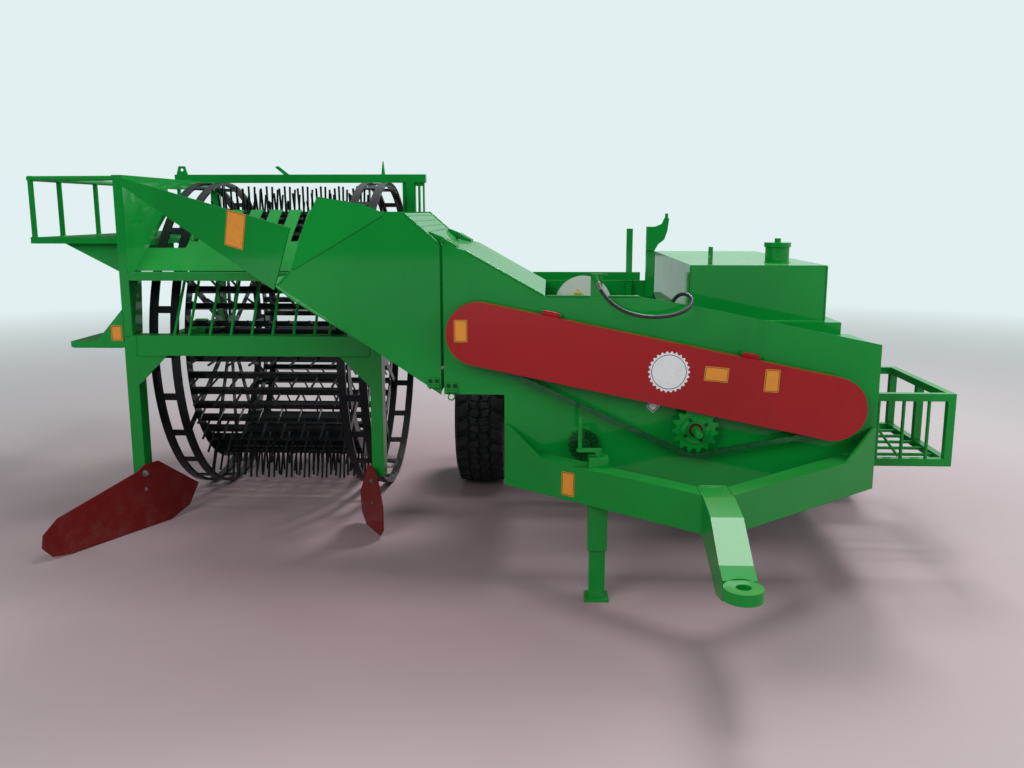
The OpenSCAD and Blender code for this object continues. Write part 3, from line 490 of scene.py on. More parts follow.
GREEN = paint("green_paint", (0.0025, 0.255, 0.032), (0.0020, 0.210, 0.026))
DARK_GREEN = paint("dark_green_paint", (0.003, 0.080, 0.014), (0.002, 0.050, 0.010),
                   roughness=0.5, dust=0.2)
RED = paint("red_paint", (0.345, 0.0055, 0.0085), (0.295, 0.0050, 0.0075),
            roughness=0.4, dust=0.08, coat=0.6, chips=0.25)
DARK_RED = paint("dark_red_paint", (0.170, 0.0085, 0.009), (0.130, 0.0075, 0.008),
                 roughness=0.5, dust=0.12, coat=0.3, chips=0.7)
OILED = paint("oiled_chain", (0.010, 0.125, 0.034), (0.010, 0.060, 0.020),
              roughness=0.42, dust=0.12, chips=0.7)
RUSTY = paint("rusty_ring", (0.060, 0.016, 0.010), (0.040, 0.012, 0.008),
              roughness=0.6, dust=0.2, coat=0.1)
BLACK = paint("black_paint", (0.006, 0.010, 0.012), (0.004, 0.006, 0.007),
              dust=0.15, coat=0.4)
WHITE = paint("white_paint", (0.62, 0.70, 0.62), (0.52, 0.60, 0.53),
              roughness=0.4, dust=0.2, coat=0.4, chips=0.4)
YELLOW = paint("yellow_paint", (0.62, 0.50, 0.08), (0.50, 0.40, 0.06),
               roughness=0.4, dust=0.2, coat=0.3, chips=0.3)
STEEL = worn_steel("bare_steel")
ZINC = worn_steel("zinc_bolt", (0.42, 0.41, 0.38), rust=0.15, roughness=0.30)
TYRE = rubber("tyre_rubber")
HOSE = rubber("hose_rubber", (0.014, 0.016, 0.018), dust=0.15, roughness=0.42)
ORANGE = plain_sign("orange_plate", (0.72, 0.27, 0.02), (0.50, 0.19, 0.03))
PALE = plain_sign("pale_plate", (0.75, 0.76, 0.78), (0.55, 0.55, 0.56))

SLOT_MATERIALS = {
    "green_paint": GREEN,
    "red_paint": RED,
    "dark_red_paint": DARK_RED,
    "black_steel": BLACK,
    "tyre_rubber": TYRE,
    "hose_rubber": HOSE,
    "white_paint": WHITE,
    "bare_steel": STEEL,
}
PAINTED_OVER = ("drive_sprockets", "guard_pins")


def dress_cad():
    """Each CAD node in the material of its slot, or in green where the photo shows it so."""
    slots = {part["node"]: part["material_slot"] for part in frame["record"]["subparts"]}
    for node, thing in NODES.items():
        material = GREEN if node in PAINTED_OVER else SLOT_MATERIALS[slots[node]]
        thing.data.materials.clear()
        thing.data.materials.append(material)


# Hose: three curves of four points each, which share their ends

HOSE_D = 0.016
HOSE_LINE = ((0.556, -0.716, 1.306), (0.582, -0.756, 1.226), (0.668, -0.774, 1.168),
             (0.788, -0.776, 1.168), (0.860, -0.778, 1.168), (0.940, -0.778, 1.190),
             (0.950, -0.726, 1.230), (0.957, -0.690, 1.258), (0.884, -0.622, 1.288),
             (0.868, -0.606, 1.160))
CURVE_STEPS = 10
FERRULE = ((0.0112, 0), (0.0112, 0.006), (0.0102, 0.008), (0.0102, 0.024), (0.0092, 0.027),
           (0.0092, 0.033), (0.0086, 0.036))


def hose_points():
    points = []
    for first in range(0, len(HOSE_LINE) - 1, 3):
        a, b, c, d = (Vector(p) for p in HOSE_LINE[first:first + 4])
        for t in (k / CURVE_STEPS for k in range(CURVE_STEPS)):
            u = 1 - t
            points.append(u ** 3 * a + 3 * u ** 2 * t * b + 3 * u * t * t * c + t ** 3 * d)
    return points + [Vector(HOSE_LINE[-1])]


def make_hose():
    """The hanging hose, with a ferrule at each end."""
    points = hose_points()
    data = bpy.data.curves.new("hose_line", "CURVE")
    data.dimensions = "3D"
    data.bevel_depth = HOSE_D / 2
    data.bevel_resolution = 5
    data.resolution_u = 1
    data.use_fill_caps = True
    spline = data.splines.new("POLY")
    spline.points.add(len(points) - 1)
    for slot, point in zip(spline.points, points):
        slot.co = (*point, 1)
    hose = link_piece("hanging_hose", data, HOSE, "chassis")
    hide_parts("hydraulic_hose")
    bm = bmesh.new()
    for end, next_point in ((points[0], points[1]), (points[-1], points[-2])):
        add_lathe(bm, Matrix.Translation(end) @ turn_to(next_point - end), FERRULE, 20)
    ferrules = finish_mesh(bm, "hose_ferrules", ZINC, "chassis")


# Wheels

TREAD_TURNS = 30
TREAD_DEPTH, SIPE_DEPTH = 0.013, 0.007
AROUND_STEPS, ACROSS_STEPS = 540, 46
CROWN_DROP = 0.012
SHOULDER_W = 0.018
# The tyre's wall from its bead to its shoulder, as (distance from its middle, radius)
WALL = ((-0.105, 0.197), (-0.122, 0.214), (-0.136, 0.245), (-0.1445, 0.290),
        (-0.1445, 0.325), (-0.140, 0.356), (-0.134, 0.380), (-0.1295, 0.396))
# Raised rings on the wall: their inner radii, and their distance from the tyre's middle
WALL_BANDS = (0.262, 0.352)
WALL_FACE = 0.1395


def wheel_centre(side):
    return Vector((WHEEL_X[side], AXLE.y, AXLE.z))


def tread_depth(across, turn):
    """Depth of the tread at across, -1 to 1 over its width, and at that turn of its pattern."""
    side = 1 if across > 0 else -1
    spread = abs(across)
    wave = turn * 2 * math.pi
    rib, groove_half = 0.46, 0.05
    centre_groove = abs(across - 0.05 * math.sin(wave)) < 0.045
    rib_groove = abs(spread - rib - 0.035 * math.sin(wave + side)) < groove_half
    # Slanted grooves between the shoulder's lugs, and fine ones in the middle at twice the rate
    cross_groove = spread > 0.5 and (turn + 0.5 * (side > 0) - 0.55 * spread) % 1 < 0.30
    sipe = groove_half < spread < rib and (turn * 2 + 0.7 * spread) % 1 < 0.16
    if centre_groove or rib_groove or cross_groove:
        return TREAD_DEPTH
    return SIPE_DEPTH if sipe else 0.0


def make_tyre(side):
    """A tyre with its tread, from cross-sections all the way round."""
    crown, shoulder = TYRE_R, TYRE_R - CROWN_DROP
    tread_half = TYRE_HALF - SHOULDER_W
    bm = bmesh.new()
    rings = []
    centre = wheel_centre(side)
    for k, angle in enumerate(around(AROUND_STEPS)):
        up = Vector((0, math.cos(angle), math.sin(angle)))
        turn = TREAD_TURNS * k / AROUND_STEPS
        ring = list(WALL)
        for i in range(ACROSS_STEPS + 1):
            across = 2 * i / ACROSS_STEPS - 1
            radius = crown - (crown - shoulder) * across * across
            ring.append((across * tread_half, radius - tread_depth(across, turn)))
        ring += [(-x, r) for x, r in reversed(WALL)]
        rings.append([bm.verts.new(centre + Vector((x, 0, 0)) + up * r) for x, r in ring])
    for a, b in zip(rings, rings[1:] + rings[:1]):
        for i in range(len(a) - 1):
            bm.faces.new((a[i], a[i + 1], b[i + 1], b[i]))
        bm.faces.new((a[-1], a[0], b[0], b[-1]))
    for radius in WALL_BANDS:
        add_wall_band(bm, centre, radius)
    tyre = finish_mesh(bm, "treaded_tyre_" + side, TYRE, "wheel_" + side, 35)
    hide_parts("tyre_" + side)


def add_wall_band(bm, centre, radius):
    """Raised moulding ring on both walls of a tyre."""
    lift = 0.0024
    section = ((radius, 0), (radius + 0.002, lift), (radius + 0.008, lift), (radius + 0.010, 0))
    for side in (-1, 1):
        face = Matrix.Translation(centre + Vector((side * WALL_FACE, 0, 0)))
        add_ring(bm, face @ turn_to((side, 0, 0)), section, 96)


def make_wheel_trim(side):
    """Nuts and bolts of a wheel, its hub cap and its valve."""
    out = 1 if side == "left" else -1
    outward = (out, 0, 0)
    centre = wheel_centre(side)
    bm = bmesh.new()
    # Distance out from the wheel's middle, radius, count, phase and size: wheel nuts, hub bolts
    for away, radius, count, phase, size in ((0.0205, 0.1025, 5, 0.3, 0.024),
                                             (0.0548, 0.046, 4, 0, 0.010)):
        for y, z in circle(radius, count, phase):
            add_bolt(bm, centre + Vector((out * away, y, z)), outward, size)
    finish_mesh(bm, "wheel_nuts_" + side, ZINC, "wheel_" + side)
    bm = bmesh.new()
    cap = Matrix.Translation(centre + Vector((out * 0.0545, 0, 0))) @ turn_to(outward)
    add_lathe(bm, cap, [(0.037, 0), (0.037, 0.012), (0.034, 0.018), (0.026, 0.022),
                        (0.010, 0.024)], 40)
    valve = Matrix.Translation(centre + Vector((out * 0.034, 0, 0.155))) @ turn_to((out, 0, 0.5))
    add_lathe(bm, valve, [(0.006, -0.01), (0.006, 0.012), (0.004, 0.014), (0.004, 0.030),
                          (0.003, 0.032)], 12)
    finish_mesh(bm, "hub_cap_" + side, GREEN, "wheel_" + side)


# Drive chain and its wheels

CHAIN_Y = FRONT - 0.0435
CHAIN_PITCH = 0.0381
WEB_CHAIN_R, PTO_CHAIN_R = 0.096, 0.112
INNER_PLATES, OUTER_PLATES = 0.0042, 0.0071
PLATE_END, PLATE_WAIST, PLATE_T = 0.0130, 0.0090, 0.0026
PIN_HALF, ROLLER_HALF = 0.0100, 0.0028
SPROCKET_FACE = FRONT - 0.050
WEB_RING_R, PTO_RING_R = 0.050, 0.061


def slope(p, q):
    """Angle of the way from p to q, both (x, z)."""
    return math.atan2(q.y - p.y, q.x - p.x)


def chain_line():
    """Points one pitch apart along the chain's loop, as (x, z)."""
    web_in, web_out, pto = (Vector((p.x, p.z)) for p in (WEB_IN, WEB_OUT, PTO))
    larger = PTO_CHAIN_R - WEB_CHAIN_R
    run_in = math.asin(larger / (pto - web_in).length) + slope(web_in, pto)
    run_out = slope(pto, web_out) - math.asin(larger / (web_out - pto).length)
    # Directions from the wheels' centres to where the upper and the two lower runs touch them
    up = Vector((math.sin(GUARD_TILT), math.cos(GUARD_TILT)))
    down_in, down_out = (Vector((math.sin(run), -math.cos(run))) for run in (run_in, run_out))

    def arc(centre, radius, start, end, steps):
        return [centre + radius * Vector((math.cos(t), math.sin(t)))
                for t in (start + (end - start) * k / steps for k in range(steps + 1))]

    def over_web_wheel(centre, first, last):
        start, end = math.atan2(first.y, first.x), math.atan2(last.y, last.x)
        while end >= start:
            end -= 2 * math.pi
        return arc(centre, WEB_CHAIN_R, start, end, 24)

    path = over_web_wheel(web_in, down_in, up) + over_web_wheel(web_out, up, down_out)
    start, end = (math.atan2(way.y, way.x) for way in (down_out, down_in))
    path += arc(pto, PTO_CHAIN_R, start, end, 12)
    path.append(path[0])
    total = sum((q - p).length for p, q in zip(path, path[1:]))
    count = 2 * round(total / CHAIN_PITCH / 2)
    step, left, points = total / count, 0.0, []
    for p, q in zip(path, path[1:]):
        span = (q - p).length
        while left < span and len(points) < count:
            points.append(p + (q - p) * (left / span))
            left += step
        left -= span
    return points


def add_link(bm, p, q, offset):
    """A pair of waisted side plates from p to q, offset from the chain's middle."""
    length = (q - p).length
    outline = []
    for centre, start, waist in ((length, -90, PLATE_WAIST), (0, 90, -PLATE_WAIST)):
        for angle in (math.radians(start + a) for a in range(15, 180, 30)):
            outline.append((centre + PLATE_END * math.cos(angle), PLATE_END * math.sin(angle)))
        outline.append((length / 2, waist))
    turn = Matrix.Rotation(-slope(p, q), 4, "Y") @ Matrix.Rotation(math.pi / 2, 4, "X")
    for side in (-1, 1):
        y = CHAIN_Y + side * offset + PLATE_T / 2
        add_prism(bm, Matrix.Translation((p.x, y, p.y)) @ turn, outline, PLATE_T)


def make_chain():
    """The roller chain: inner and outer links in turn, with a pin and a roller at each joint."""
    points = chain_line()
    bm = bmesh.new()
    for i, p in enumerate(points):
        q = points[(i + 1) % len(points)]
        add_link(bm, p, q, OUTER_PLATES if i % 2 else INNER_PLATES)
        pin = Matrix.Translation((p.x, CHAIN_Y - PIN_HALF, p.y)) @ turn_to(REARWARD)
        add_lathe(bm, pin, [(0.0030, 0), (0.0042, 0.001), (0.0042, 0.019), (0.0030, 0.020)], 10)
        roller = Matrix.Translation((p.x, CHAIN_Y - ROLLER_HALF, p.y)) @ turn_to(REARWARD)
        add_lathe(bm, roller, [(0.0100, 0), (0.0105, 0.0008), (0.0105, 0.0048),
                               (0.0100, 0.0056)], 14)
    chain = finish_mesh(bm, "roller_chain", OILED, "chassis", 30)
    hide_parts("drive_chain")


def make_sprocket_rings():
    """Machined steps and bolts on the front of the three sprockets."""
    bore, top = 0.0385, 0.006
    rings, bolts = bmesh.new(), bmesh.new()
    for centre, radius in ((PTO, PTO_RING_R), (WEB_IN, WEB_RING_R), (WEB_OUT, WEB_RING_R)):
        place = plane_at((centre.x, SPROCKET_FACE, centre.z), FORWARD)
        add_ring(rings, place, [(bore, 0), (radius, 0), (radius, 0.0045),
                                (radius - 0.003, top), (0.0395, top), (bore, 0.005)])
        add_bolt_circle(bolts, place, FORWARD, radius - 0.011, 0.0055, 0.5, 0.011)
    finish_mesh(rings, "sprocket_rings", GREEN, "chassis")
    finish_mesh(bolts, "sprocket_bolts", DARK_GREEN, "chassis")


STUB_BACK = -0.625
SPLINES = 6
ROOT, OUTER = 0.0149, 0.01745
# The stub's collars and plain shaft, as (radius, height) from its back
STUB_PROFILE = (
    (0.043, 0), (0.045, 0.002), (0.045, 0.058), (0.043, 0.060), (0.0222, 0.060),
    (0.0222, 0.065), (0.043, 0.065), (0.045, 0.067), (0.045, 0.078), (0.043, 0.080),
    (0.020, 0.080), (0.020, 0.129), (0.0185, 0.130))
# Its splined end and the groove in it, as (radius of the splines, radius between them, height)
SPLINE_STATIONS = (
    (ROOT, ROOT, 0.1295), (ROOT, ROOT, 0.134), (OUTER, ROOT, 0.137), (OUTER, ROOT, 0.178),
    (ROOT, ROOT, 0.1785), (ROOT, ROOT, 0.186), (OUTER, ROOT, 0.1865), (OUTER, ROOT, 0.212),
    (ROOT + 0.001, ROOT, 0.215))


def spline_outline(high, low):
    """Outline of the splines, radius high, with radius low between them."""
    outline = []
    for k in range(SPLINES):
        # Each corner's share of the pitch from the spline's middle, and its radius
        for share, radius in ((-0.42, low), (-0.26, low), (-0.22, high), (0.0, high),
                              (0.22, high), (0.26, low)):
            angle = 2 * math.pi * (k + share) / SPLINES
            outline.append((radius * math.cos(angle), radius * math.sin(angle)))
    return outline


def make_stub():
    """The stub shaft with its six splines, and the seal at its root."""
    place = plane_at((PTO.x, STUB_BACK, PTO.z), FORWARD)
    bm = bmesh.new()
    add_lathe(bm, place, STUB_PROFILE, 48)
    skin(bm, [loop_at(bm, place, spline_outline(high, low), height)
              for high, low, height in SPLINE_STATIONS])
    stub = finish_mesh(bm, "splined_stub", GREEN, "chassis", 30)
    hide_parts("pto_shaft")
    bm = bmesh.new()
    seal = plane_at((PTO.x, FRONT - 0.058, PTO.z), FORWARD)
    add_ring(bm, seal, [(0.0202, 0), (0.030, 0), (0.030, 0.005), (0.026, 0.007),
                        (0.0202, 0.007)])
    finish_mesh(bm, "stub_seal", RUSTY, "chassis")


# Fittings on the sheets and frames


def make_signs():
    """Blank plates with a thin border, where the machine carries its signs."""
    thick, border_low, border_high = 0.0010, 0.0009, 0.0013
    hopper_out = Vector((-0.5007, -0.8656, 0))
    hopper_up = Vector((0.10, -0.06, 0.62))
    hopper_spot = Vector((-1.023, -0.523, 1.517)) + hopper_out * 0.0058
    arm_out = Vector((-0.6334, -0.7738, 0))
    arm_spot = Vector((0.438, -0.9135, 0.490)) + arm_out * 0.0004
    signs = (
        # body, centre, out, up, width, height
        ("guard", (-0.015, GUARD_FACE, 1.104), FORWARD, UP, 0.056, 0.094),
        ("guard", (1.056, GUARD_FACE, 0.927), FORWARD, Vector((0.09, 0, 1)), 0.100, 0.062),
        ("guard", (1.287, GUARD_FACE, 0.901), FORWARD, Vector((0.05, 0, 1)), 0.062, 0.096),
        ("pickup", hopper_spot, hopper_out, hopper_up, 0.118, 0.156),
        ("pickup", (-1.789, LEGS[0].y, 1.002), FORWARD, UP, 0.054, 0.076),
        ("chassis", arm_spot, arm_out, UP, 0.066, 0.100))
    for body in ("guard", "pickup", "chassis"):
        plates, borders = bmesh.new(), bmesh.new()
        for owner, centre, out, up, width, height in signs:
            if owner == body:
                place = plane_at(centre, out, up)
                add_prism(plates, place, rounded(width, height, 0.005), thick)
                add_band(borders, place, rounded(width - 0.006, height - 0.006, 0.004),
                         rounded(width - 0.010, height - 0.010, 0.003), border_low, border_high)
        finish_mesh(plates, "orange_plates_" + body, ORANGE, body)
        finish_mesh(borders, "plate_borders_" + body, BLACK, body)


def make_badge():
    """Blank round plate with a scalloped edge on the guard, and a small blank diamond under it."""
    radius, wave, teeth, steps = 0.088, 0.0045, 26, 8
    place = plane_at((0.858, GUARD_FACE, 0.936), FORWARD)
    outline = []
    for a in around(teeth * steps):
        r = radius - wave + wave * math.cos(teeth * a)
        outline.append((r * math.cos(a), r * math.sin(a)))
    bm = bmesh.new()
    add_prism(bm, place, outline, 0.0012)
    finish_mesh(bm, "round_badge", PALE, "guard")
    bm = bmesh.new()
    add_ring(bm, place, [(0.071, 0.001), (0.0735, 0.001), (0.0735, 0.0016), (0.071, 0.0016)], 72)
    finish_mesh(bm, "badge_ring", BLACK, "guard")
    diamond = plane_at((0.803, FRONT, 0.776), FORWARD) @ Matrix.Rotation(math.pi / 4, 4, "Z")
    bm = bmesh.new()
    add_prism(bm, diamond, rounded(0.043, 0.043, 0.004), 0.0010)
    finish_mesh(bm, "diamond_plate", PALE, "chassis")
    bm = bmesh.new()
    add_band(bm, diamond, rounded(0.037, 0.037, 0.003), rounded(0.030, 0.030, 0.002),
             0.0009, 0.0014)
    finish_mesh(bm, "diamond_border", BLACK, "chassis")


def add_bearing(house, bolts, centre, out, size, shaft):
    """Flanged bearing unit round a shaft of that radius, with its bolts and grease nipple."""
    place = plane_at(centre, out)
    half = size / 2
    flange, top, steps = 0.009, 0.0165, 13
    add_band(house, place, rounded(size, size, half * 0.45, steps),
             circle(shaft * 1.05, 4 * steps), 0, flange)
    add_ring(house, place, [(shaft * 1.04, 0.008), (half * 0.80, 0.008), (half * 0.76, 0.013),
                            (half * 0.66, top), (shaft * 1.10, top), (shaft * 1.04, 0.015)])
    add_bolt_circle(bolts, place, out, half * 1.02, flange, math.pi / 4, 0.014)
    nipple = place @ Matrix.Translation((0, half * 0.70, 0.012)) @ turn_to((0, 1, 0.6))
    add_lathe(bolts, nipple, [(0.0045, 0), (0.0045, 0.004), (0.0028, 0.005), (0.0028, 0.010),
                              (0.0034, 0.012), (0.0020, 0.015)], 10)


def make_bearings():
    """The drum's bearings on the side arms, and the web shafts' on the body's two walls."""
    house, bolts = bmesh.new(), bmesh.new()
    for x, out in ((ARMS[0].x, (-1, 0, 0)), (ARMS[1].x, (1, 0, 0))):
        add_bearing(house, bolts, (x, DRUM.y, DRUM.z), out, 0.150, 0.031)
    finish_mesh(house, "drum_bearings", GREEN, "pickup")
    finish_mesh(bolts, "drum_bearing_bolts", ZINC, "pickup")
    house, bolts = bmesh.new(), bmesh.new()
    for shaft in (WEB_IN, WEB_OUT):
        for y, out in ((FRONT, FORWARD), (INNER_BACK, REARWARD)):
            add_bearing(house, bolts, (shaft.x, y, shaft.z), out, 0.120, 0.021)
    finish_mesh(house, "web_bearings", GREEN, "chassis")
    finish_mesh(bolts, "web_bearing_bolts", ZINC, "chassis")


def make_idler():
    """Knobbed wheel on the body's front, behind the jack's crank."""
    knobs, knob_circle, rib_circle = 16, 0.0605, 0.042
    place = plane_at((0.509, FRONT, 0.605), FORWARD)
    bm = bmesh.new()
    add_lathe(bm, place, [(0.024, 0), (0.024, 0.012), (0.056, 0.012), (0.058, 0.014),
                          (0.058, 0.020), (0.056, 0.022), (0.030, 0.022), (0.028, 0.036),
                          (0.026, 0.038), (0.014, 0.038), (0.014, 0.046), (0.012, 0.048)], 40)
    for a in around(knobs):
        knob = Matrix.Translation((knob_circle * math.cos(a), knob_circle * math.sin(a), 0.008))
        add_lathe(bm, place @ knob, [(0.0075, 0), (0.0085, 0.001), (0.0085, 0.017),
                                     (0.0075, 0.018)], 12)
        rib = place @ Matrix.Rotation(a, 4, "Z") @ Matrix.Translation((rib_circle, 0, 0.0215))
        add_prism(bm, rib, rounded(0.022, 0.006, 0.002), 0.005)
    finish_mesh(bm, "knobbed_wheel", DARK_GREEN, "chassis")


def make_clamps():
    """Clamp between the body's lower corner and the chute's, half on each, and its pull ring."""
    half_w, bolt_x = 0.026, 0.014
    for body, x, z in (("chassis", -0.062, 0.852), ("pickup", -0.140, 0.874)):
        lug, bolts = bmesh.new(), bmesh.new()
        add_block(lug, (x - half_w, FRONT - 0.022, z - 0.020), (x + half_w, FRONT, z - 0.014))
        add_block(lug, (x - half_w, FRONT - 0.006, z - 0.014), (x + half_w, FRONT, z + 0.020))
        for dx in (-bolt_x, bolt_x):
            add_bolt(bolts, (x + dx, FRONT - 0.006, z + 0.006), FORWARD, 0.013)
            add_bolt(bolts, (x + dx, FRONT - 0.014, z - 0.020), (0, 0, -1), 0.010)
        finish_mesh(lug, "corner_lug_" + body, GREEN, body)
        finish_mesh(bolts, "corner_bolts_" + body, DARK_GREEN, body)
    bm = bmesh.new()
    ring_r, wire_r = 0.014, 0.003
    ring = plane_at((-0.062, FRONT - 0.014, 0.812), (0.3, -1, 0))
    add_ring(bm, ring, [(ring_r + r, height) for r, height in circle(wire_r, 10)], 28)
    finish_mesh(bm, "corner_ring", GREEN, "chassis")


def make_divider_bolts():
    """Bolts that hang the two row dividers on the legs' corners."""
    divider_z, divider_face = 0.002, 0.0083
    bm = bmesh.new()
    for leg_x, turn, side, spots in (
            # Leg's inner face, turn in degrees, side, and (y, z, size) of each bolt
            (OUTER_FACE + LEG_W, -27, 1, ((-0.010, 0.284, 0.024), (-0.010, 0.200, 0.013))),
            (LEGS[1].x - LEG_W, 30, -1, ((-0.020, 0.262, 0.018), (-0.020, 0.150, 0.013)))):
        corner = Matrix.Translation((leg_x, LEGS[0].y, divider_z))
        place = corner @ Matrix.Rotation(math.radians(turn), 4, "Z")
        out = place.to_3x3() @ Vector((side, 0, 0))
        for y, z, size in spots:
            add_bolt(bm, place @ Vector((side * divider_face, y, z)), out, size)
    finish_mesh(bm, "divider_bolts", ZINC, "pickup")


def make_disc_knob():
    """Yellow knob on the marker disc's face."""
    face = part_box("marker_disc")[0].y + 0.012
    place = plane_at((0.503, face, 1.184), FORWARD)
    bm = bmesh.new()
    for angle in (0, math.pi / 2):
        wing = place @ Matrix.Rotation(angle, 4, "Z")
        add_prism(bm, wing, rounded(0.040, 0.011, 0.004), 0.009)
    add_lathe(bm, place, [(0.010, 0.008), (0.010, 0.014), (0.007, 0.017)], 20)
    finish_mesh(bm, "disc_knob", YELLOW, "chassis")


def make_axle_plates():
    """Bolted clamp plates on the rails' outer faces, round the axle beam."""
    thick, over_axle = 0.008, 0.075
    outer, inner = rounded(0.26, 0.11, 0.012), rounded(0.02, 0.02, 0.009)
    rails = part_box("side_rails")
    plates, bolts = bmesh.new(), bmesh.new()
    for x, side in ((rails[0].x, -1), (rails[1].x, 1)):
        out = (side, 0, 0)
        place = plane_at((x, AXLE.y, AXLE.z + over_axle), out)
        add_band(plates, place, outer, inner, 0, thick)
        for dx in (-0.105, 0.105):
            for dz in (-0.035, 0.035):
                add_bolt(bolts, place @ Vector((dx, dz, thick)), out, 0.018)
    finish_mesh(plates, "axle_plates", GREEN, "chassis")
    finish_mesh(bolts, "axle_bolts", ZINC, "chassis")


def pickup_welds():
    """Start, end and out of each weld on the pickup unit."""
    y, top, low = BEAM[0].y, BEAM_TOP, 0.889
    leg_in, other_leg_in = OUTER_FACE + LEG_W, LEGS[1].x - LEG_W
    post_in = OUTER_FACE + POST_W
    rear, arm_top, post_top = 1.290, 0.930, 1.770
    inner_a, inner_b = ARMS[1].x - 0.06, ARMS[1].x - 0.01
    return [
        # The portal's beam between its legs, and its underside at the gussets
        ((leg_in, y, 0.890), (leg_in, y, top), (0, -1, 0)),
        ((other_leg_in, y, 0.890), (other_leg_in, y, top), (0, -1, 0)),
        ((leg_in, y, low), (leg_in + 0.15, y, low), (0, -1, -1)),
        ((other_leg_in - 0.15, y, low), (other_leg_in, y, low), (0, -1, -1)),
        # The outer post's foot
        ((OUTER_FACE, y, top), (post_in, y, top), (0, -1, 0)),
        ((post_in, y, top), (post_in, y + POST_W, top), (1, 0, 1)),
        # The chute's front along its hood, its cover and the hopper's plate
        ((-0.735, FRONT, 1.353), (-0.338, FRONT, 1.587), (-0.4, -1, 0.7)),
        ((-0.258, FRONT, 1.592), (-0.112, FRONT, 1.465), (0.6, -1, 0.8)),
        ((-0.803, FRONT, 1.288), (-0.742, FRONT, 1.350), (-0.7, -1, 0.7)),
        # The step's gusset and underside, and the walkway's first bracket
        ((OUTER_FACE, y, 0.962), (OUTER_FACE, y, 1.118), (-1, -1, 0)),
        ((-2.02, y, 0.932), (OUTER_FACE, y, 0.932), (0, -1, -1)),
        ((OUTER_FACE - 0.001, y + 0.10, 1.280), (OUTER_FACE - 0.001, y + 0.10, 1.440),
         (-1, 0, 0)),
        # The rear top frame's two posts, at their feet and tops
        ((OUTER_FACE, 1.240, arm_top), (OUTER_FACE + 0.05, 1.240, arm_top), (0, -1, 1)),
        ((OUTER_FACE, rear, post_top), (OUTER_FACE + 0.05, rear, post_top), (0, 1, -1)),
        ((inner_a, rear, arm_top), (inner_b, rear, arm_top), (0, 1, 1)),
        ((inner_a, rear, post_top), (inner_b, rear, post_top), (0, 1, -1))]


def chassis_welds():
    """Start, end and out of each weld on the chassis and the body."""
    top, cover_z, upright_y = RAIL_TOP, 1.2455, 0.230
    low_x, low_y, low_z = TANK_LOW
    high_x, high_y, high_z = TANK_HIGH
    tongue_low, tongue_high, tongue_end = 0.9225, 1.0375, -1.1975
    jack_low, jack_high, jack_front, jack_back = 0.520, 0.600, -0.965, -0.885
    runs = [
        # The body's front along its cover, on both sides of the hose's bracket
        ((-0.004, FRONT, 1.437), (0.335, FRONT, 1.246), (0.4, -1, 0.9)),
        ((0.340, FRONT, cover_z), (0.528, FRONT, cover_z), (0, -1, 0.7)),
        ((0.602, FRONT, cover_z), (0.734, FRONT, cover_z), (0, -1, 0.7)),
        # The drawbar's arms at the body's corners
        ((0.165, FRONT, top), (0.308, FRONT, top), (0, -1, 1)),
        ((1.612, FRONT, top), (1.755, FRONT, top), (0, -1, 1)),
        # The tongue between the arms' ends
        ((tongue_low, -1.308, top), (tongue_low, -1.200, top), (-0.2, 0, 1)),
        ((tongue_high, -1.308, top), (tongue_high, -1.200, top), (0.2, 0, 1)),
        ((tongue_low, tongue_end, top), (tongue_high, tongue_end, top), (0, 0.2, 1)),
        ((tongue_low, -1.310, 0.425), (tongue_low, -1.310, 0.568), (-1, -1, 0)),
        ((tongue_high, -1.310, 0.425), (tongue_high, -1.310, 0.568), (1, -1, 0)),
        # The jack's tube on its arm
        ((jack_low, jack_front, top), (jack_high, jack_front, top), (0, -1, 1)),
        ((jack_low, jack_back, top), (jack_low, jack_front, top), (-1, 0, 1)),
        ((jack_high, jack_front, top), (jack_high, jack_back, top), (1, 0, 1)),
        # The tank on its shelf
        ((low_x, low_y, low_z), (high_x, low_y, low_z), (0, -1, 1)),
        ((low_x, low_y, low_z), (low_x, high_y, low_z), (-1, 0, 1)),
        ((high_x, low_y, low_z), (high_x, high_y, low_z), (1, 0, 1)),
        ((low_x, high_y, low_z), (high_x, high_y, low_z), (0, 1, 1)),
        # The hose's upright
        ((0.750, upright_y, 1.245), (0.780, upright_y, 1.245), (0, -1, 0)),
        ((0.750, upright_y, 1.162), (0.750, 0.259, 1.162), (-1, 0, -1))]
    # The tank's upright edges
    for x in (low_x, high_x):
        for y in (low_y, high_y):
            runs.append(((x, y, low_z), (x, y, high_z), (x - TANK_MID_X, y - TANK_MID_Y, 0)))
    # The inner corners of the bag platform's rail
    low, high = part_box("bag_rail")
    bar, rail_low, rail_high = 0.035, 0.475, 0.745
    for y in (low.y + bar, high.y - bar):
        side = 1 if y < 0 else -1
        for z, way in ((rail_high, -1), (rail_low, 1)):
            runs.append(((high.x - bar, y, z), (high.x, y, z), (0, side, way)))
    return runs


def make_welds():
    """Weld beads in the corners that show."""
    for body, runs in (("pickup", pickup_welds()), ("chassis", chassis_welds())):
        bm = bmesh.new()
        for start, end, out in runs:
            add_bead(bm, start, end, out)
        finish_mesh(bm, "weld_beads_" + body, GREEN, body, 60)


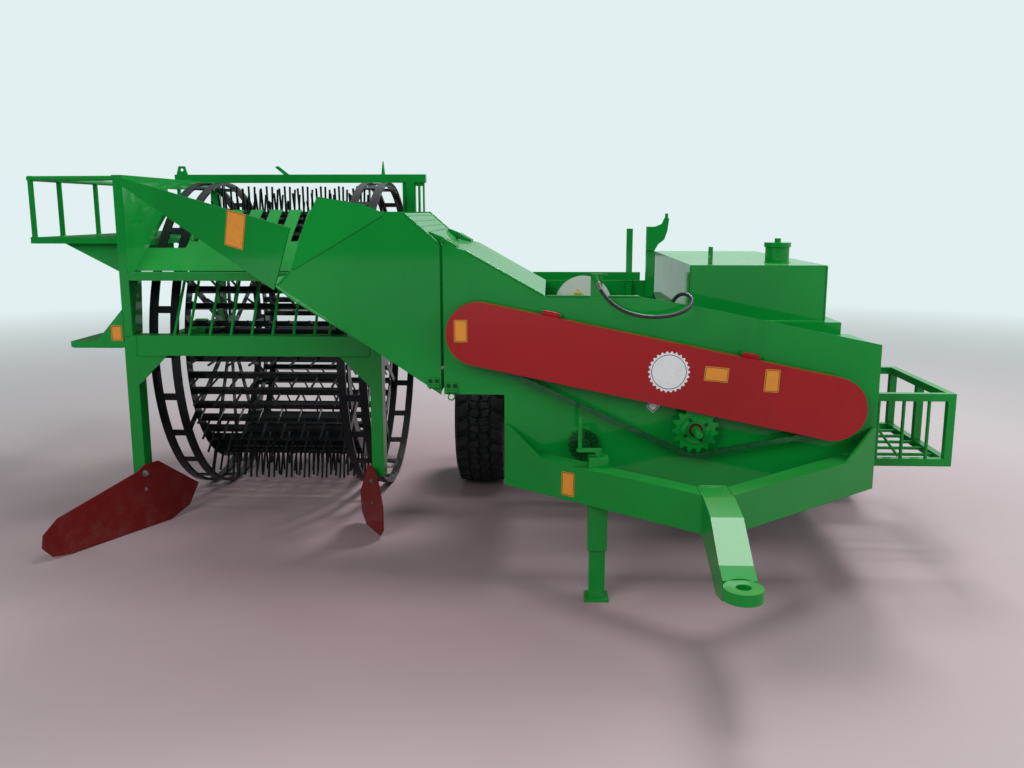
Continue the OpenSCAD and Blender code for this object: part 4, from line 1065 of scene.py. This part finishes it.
def make_rail_feet():
    """Round weld beads at the feet of the walkway's posts and of the tank's filler."""
    bead = circle(0.0035, 8)
    post_r, filler_r = 0.0135, 0.0585
    low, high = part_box("walkway_rail")
    bm = bmesh.new()
    for y in (-0.035, 0.240, 0.640, 1.040, 1.440, 1.865):
        foot = Matrix.Translation((low.x + 0.013, y, 1.4705))
        add_ring(bm, foot, [(post_r + r, height) for r, height in bead], 20)
    # Not past the rail's own outer faces
    for v in bm.verts:
        v.co.x, v.co.y = max(v.co.x, low.x), min(v.co.y, high.y)
    finish_mesh(bm, "post_weld_rings", GREEN, "pickup")
    bm = bmesh.new()
    foot = Matrix.Translation((1.475, 0.060, 1.3505))
    add_ring(bm, foot, [(filler_r + r, height) for r, height in bead])
    finish_mesh(bm, "filler_weld_ring", GREEN, "chassis")


# Floor and light

FLOOR_HALF = 30
SKY = (0.95, 0.98, 1.0, 1)
SKY_STRENGTH = 0.38
# The background's reflection is dim, but bright towards that way
BRIGHT_WAY = (0.75, 0.45, 0.5)
BRIGHT_FROM, BRIGHT_FULL = 0.28, 0.58
DIM = 0.10
AIM = Vector((0, 0, 0.8))
LAMPS = (
    # name, place, size, power, seen in reflections
    ("key", (-3.0, -5.5, 4.5), 3.5, 200, False),
    ("side", (5.5, -3.5, 2.5), 3.0, 90, False),
    ("top", (1.6, -0.2, 6.0), 1.8, 130, True),
    ("back", (2.4, 4.2, 6.0), 1.8, 330, True))


def make_stage():
    """The floor, which reaches past where it has faded into the background."""
    bm = bmesh.new()
    bmesh.ops.create_grid(bm, x_segments=2, y_segments=2, size=FLOOR_HALF)
    data = bpy.data.meshes.new("floor")
    bm.to_mesh(data)
    bm.free()
    floor = bpy.data.objects.new("floor", data)
    data.materials.append(concrete())
    scene.collection.objects.link(floor)


def make_world():
    """Soft light from all round, with the pale background for the camera and reflections."""
    world = bpy.data.worlds.new("studio")
    n = Nodes(world)
    light = n.tree.nodes["Background"]
    light.inputs["Color"].default_value = SKY
    light.inputs["Strength"].default_value = SKY_STRENGTH
    way = n.vector_math("DOT_PRODUCT", n.coords.outputs["Generated"])
    way.inputs[1].default_value = BRIGHT_WAY
    reflected = n.ramp(way.outputs["Value"], BRIGHT_FROM, BRIGHT_FULL, DIM, 1.0)
    seen = n.node("Background", Color=BACKGROUND)
    n.wire(n.math("MAXIMUM", reflected, n.ray("Camera")), seen.inputs["Strength"])
    n.blend(n.ray("Camera", "Glossy"), light.outputs["Background"],
            seen.outputs["Background"], "World Output")
    scene.world = world


def make_lamps():
    for name, place, size, power, reflected in LAMPS:
        data = bpy.data.lights.new(name, "AREA")
        data.size = size
        data.energy = power
        lamp = bpy.data.objects.new(name, data)
        lamp.location = place
        lamp.visible_glossy = reflected
        lamp.rotation_euler = (AIM - Vector(place)).to_track_quat("-Z", "Y").to_euler()
        scene.collection.objects.link(lamp)


random.seed(7)
make_hose()
dress_cad()
for side in WHEEL_X:
    make_tyre(side)
    make_wheel_trim(side)
make_chain()
make_sprocket_rings()
make_stub()
make_signs()
make_badge()
make_bearings()
make_idler()
make_clamps()
make_divider_bolts()
make_disc_knob()
make_axle_plates()
make_welds()
make_rail_feet()
make_stage()
make_world()
make_lamps()
scene.view_settings.view_transform = "Standard"
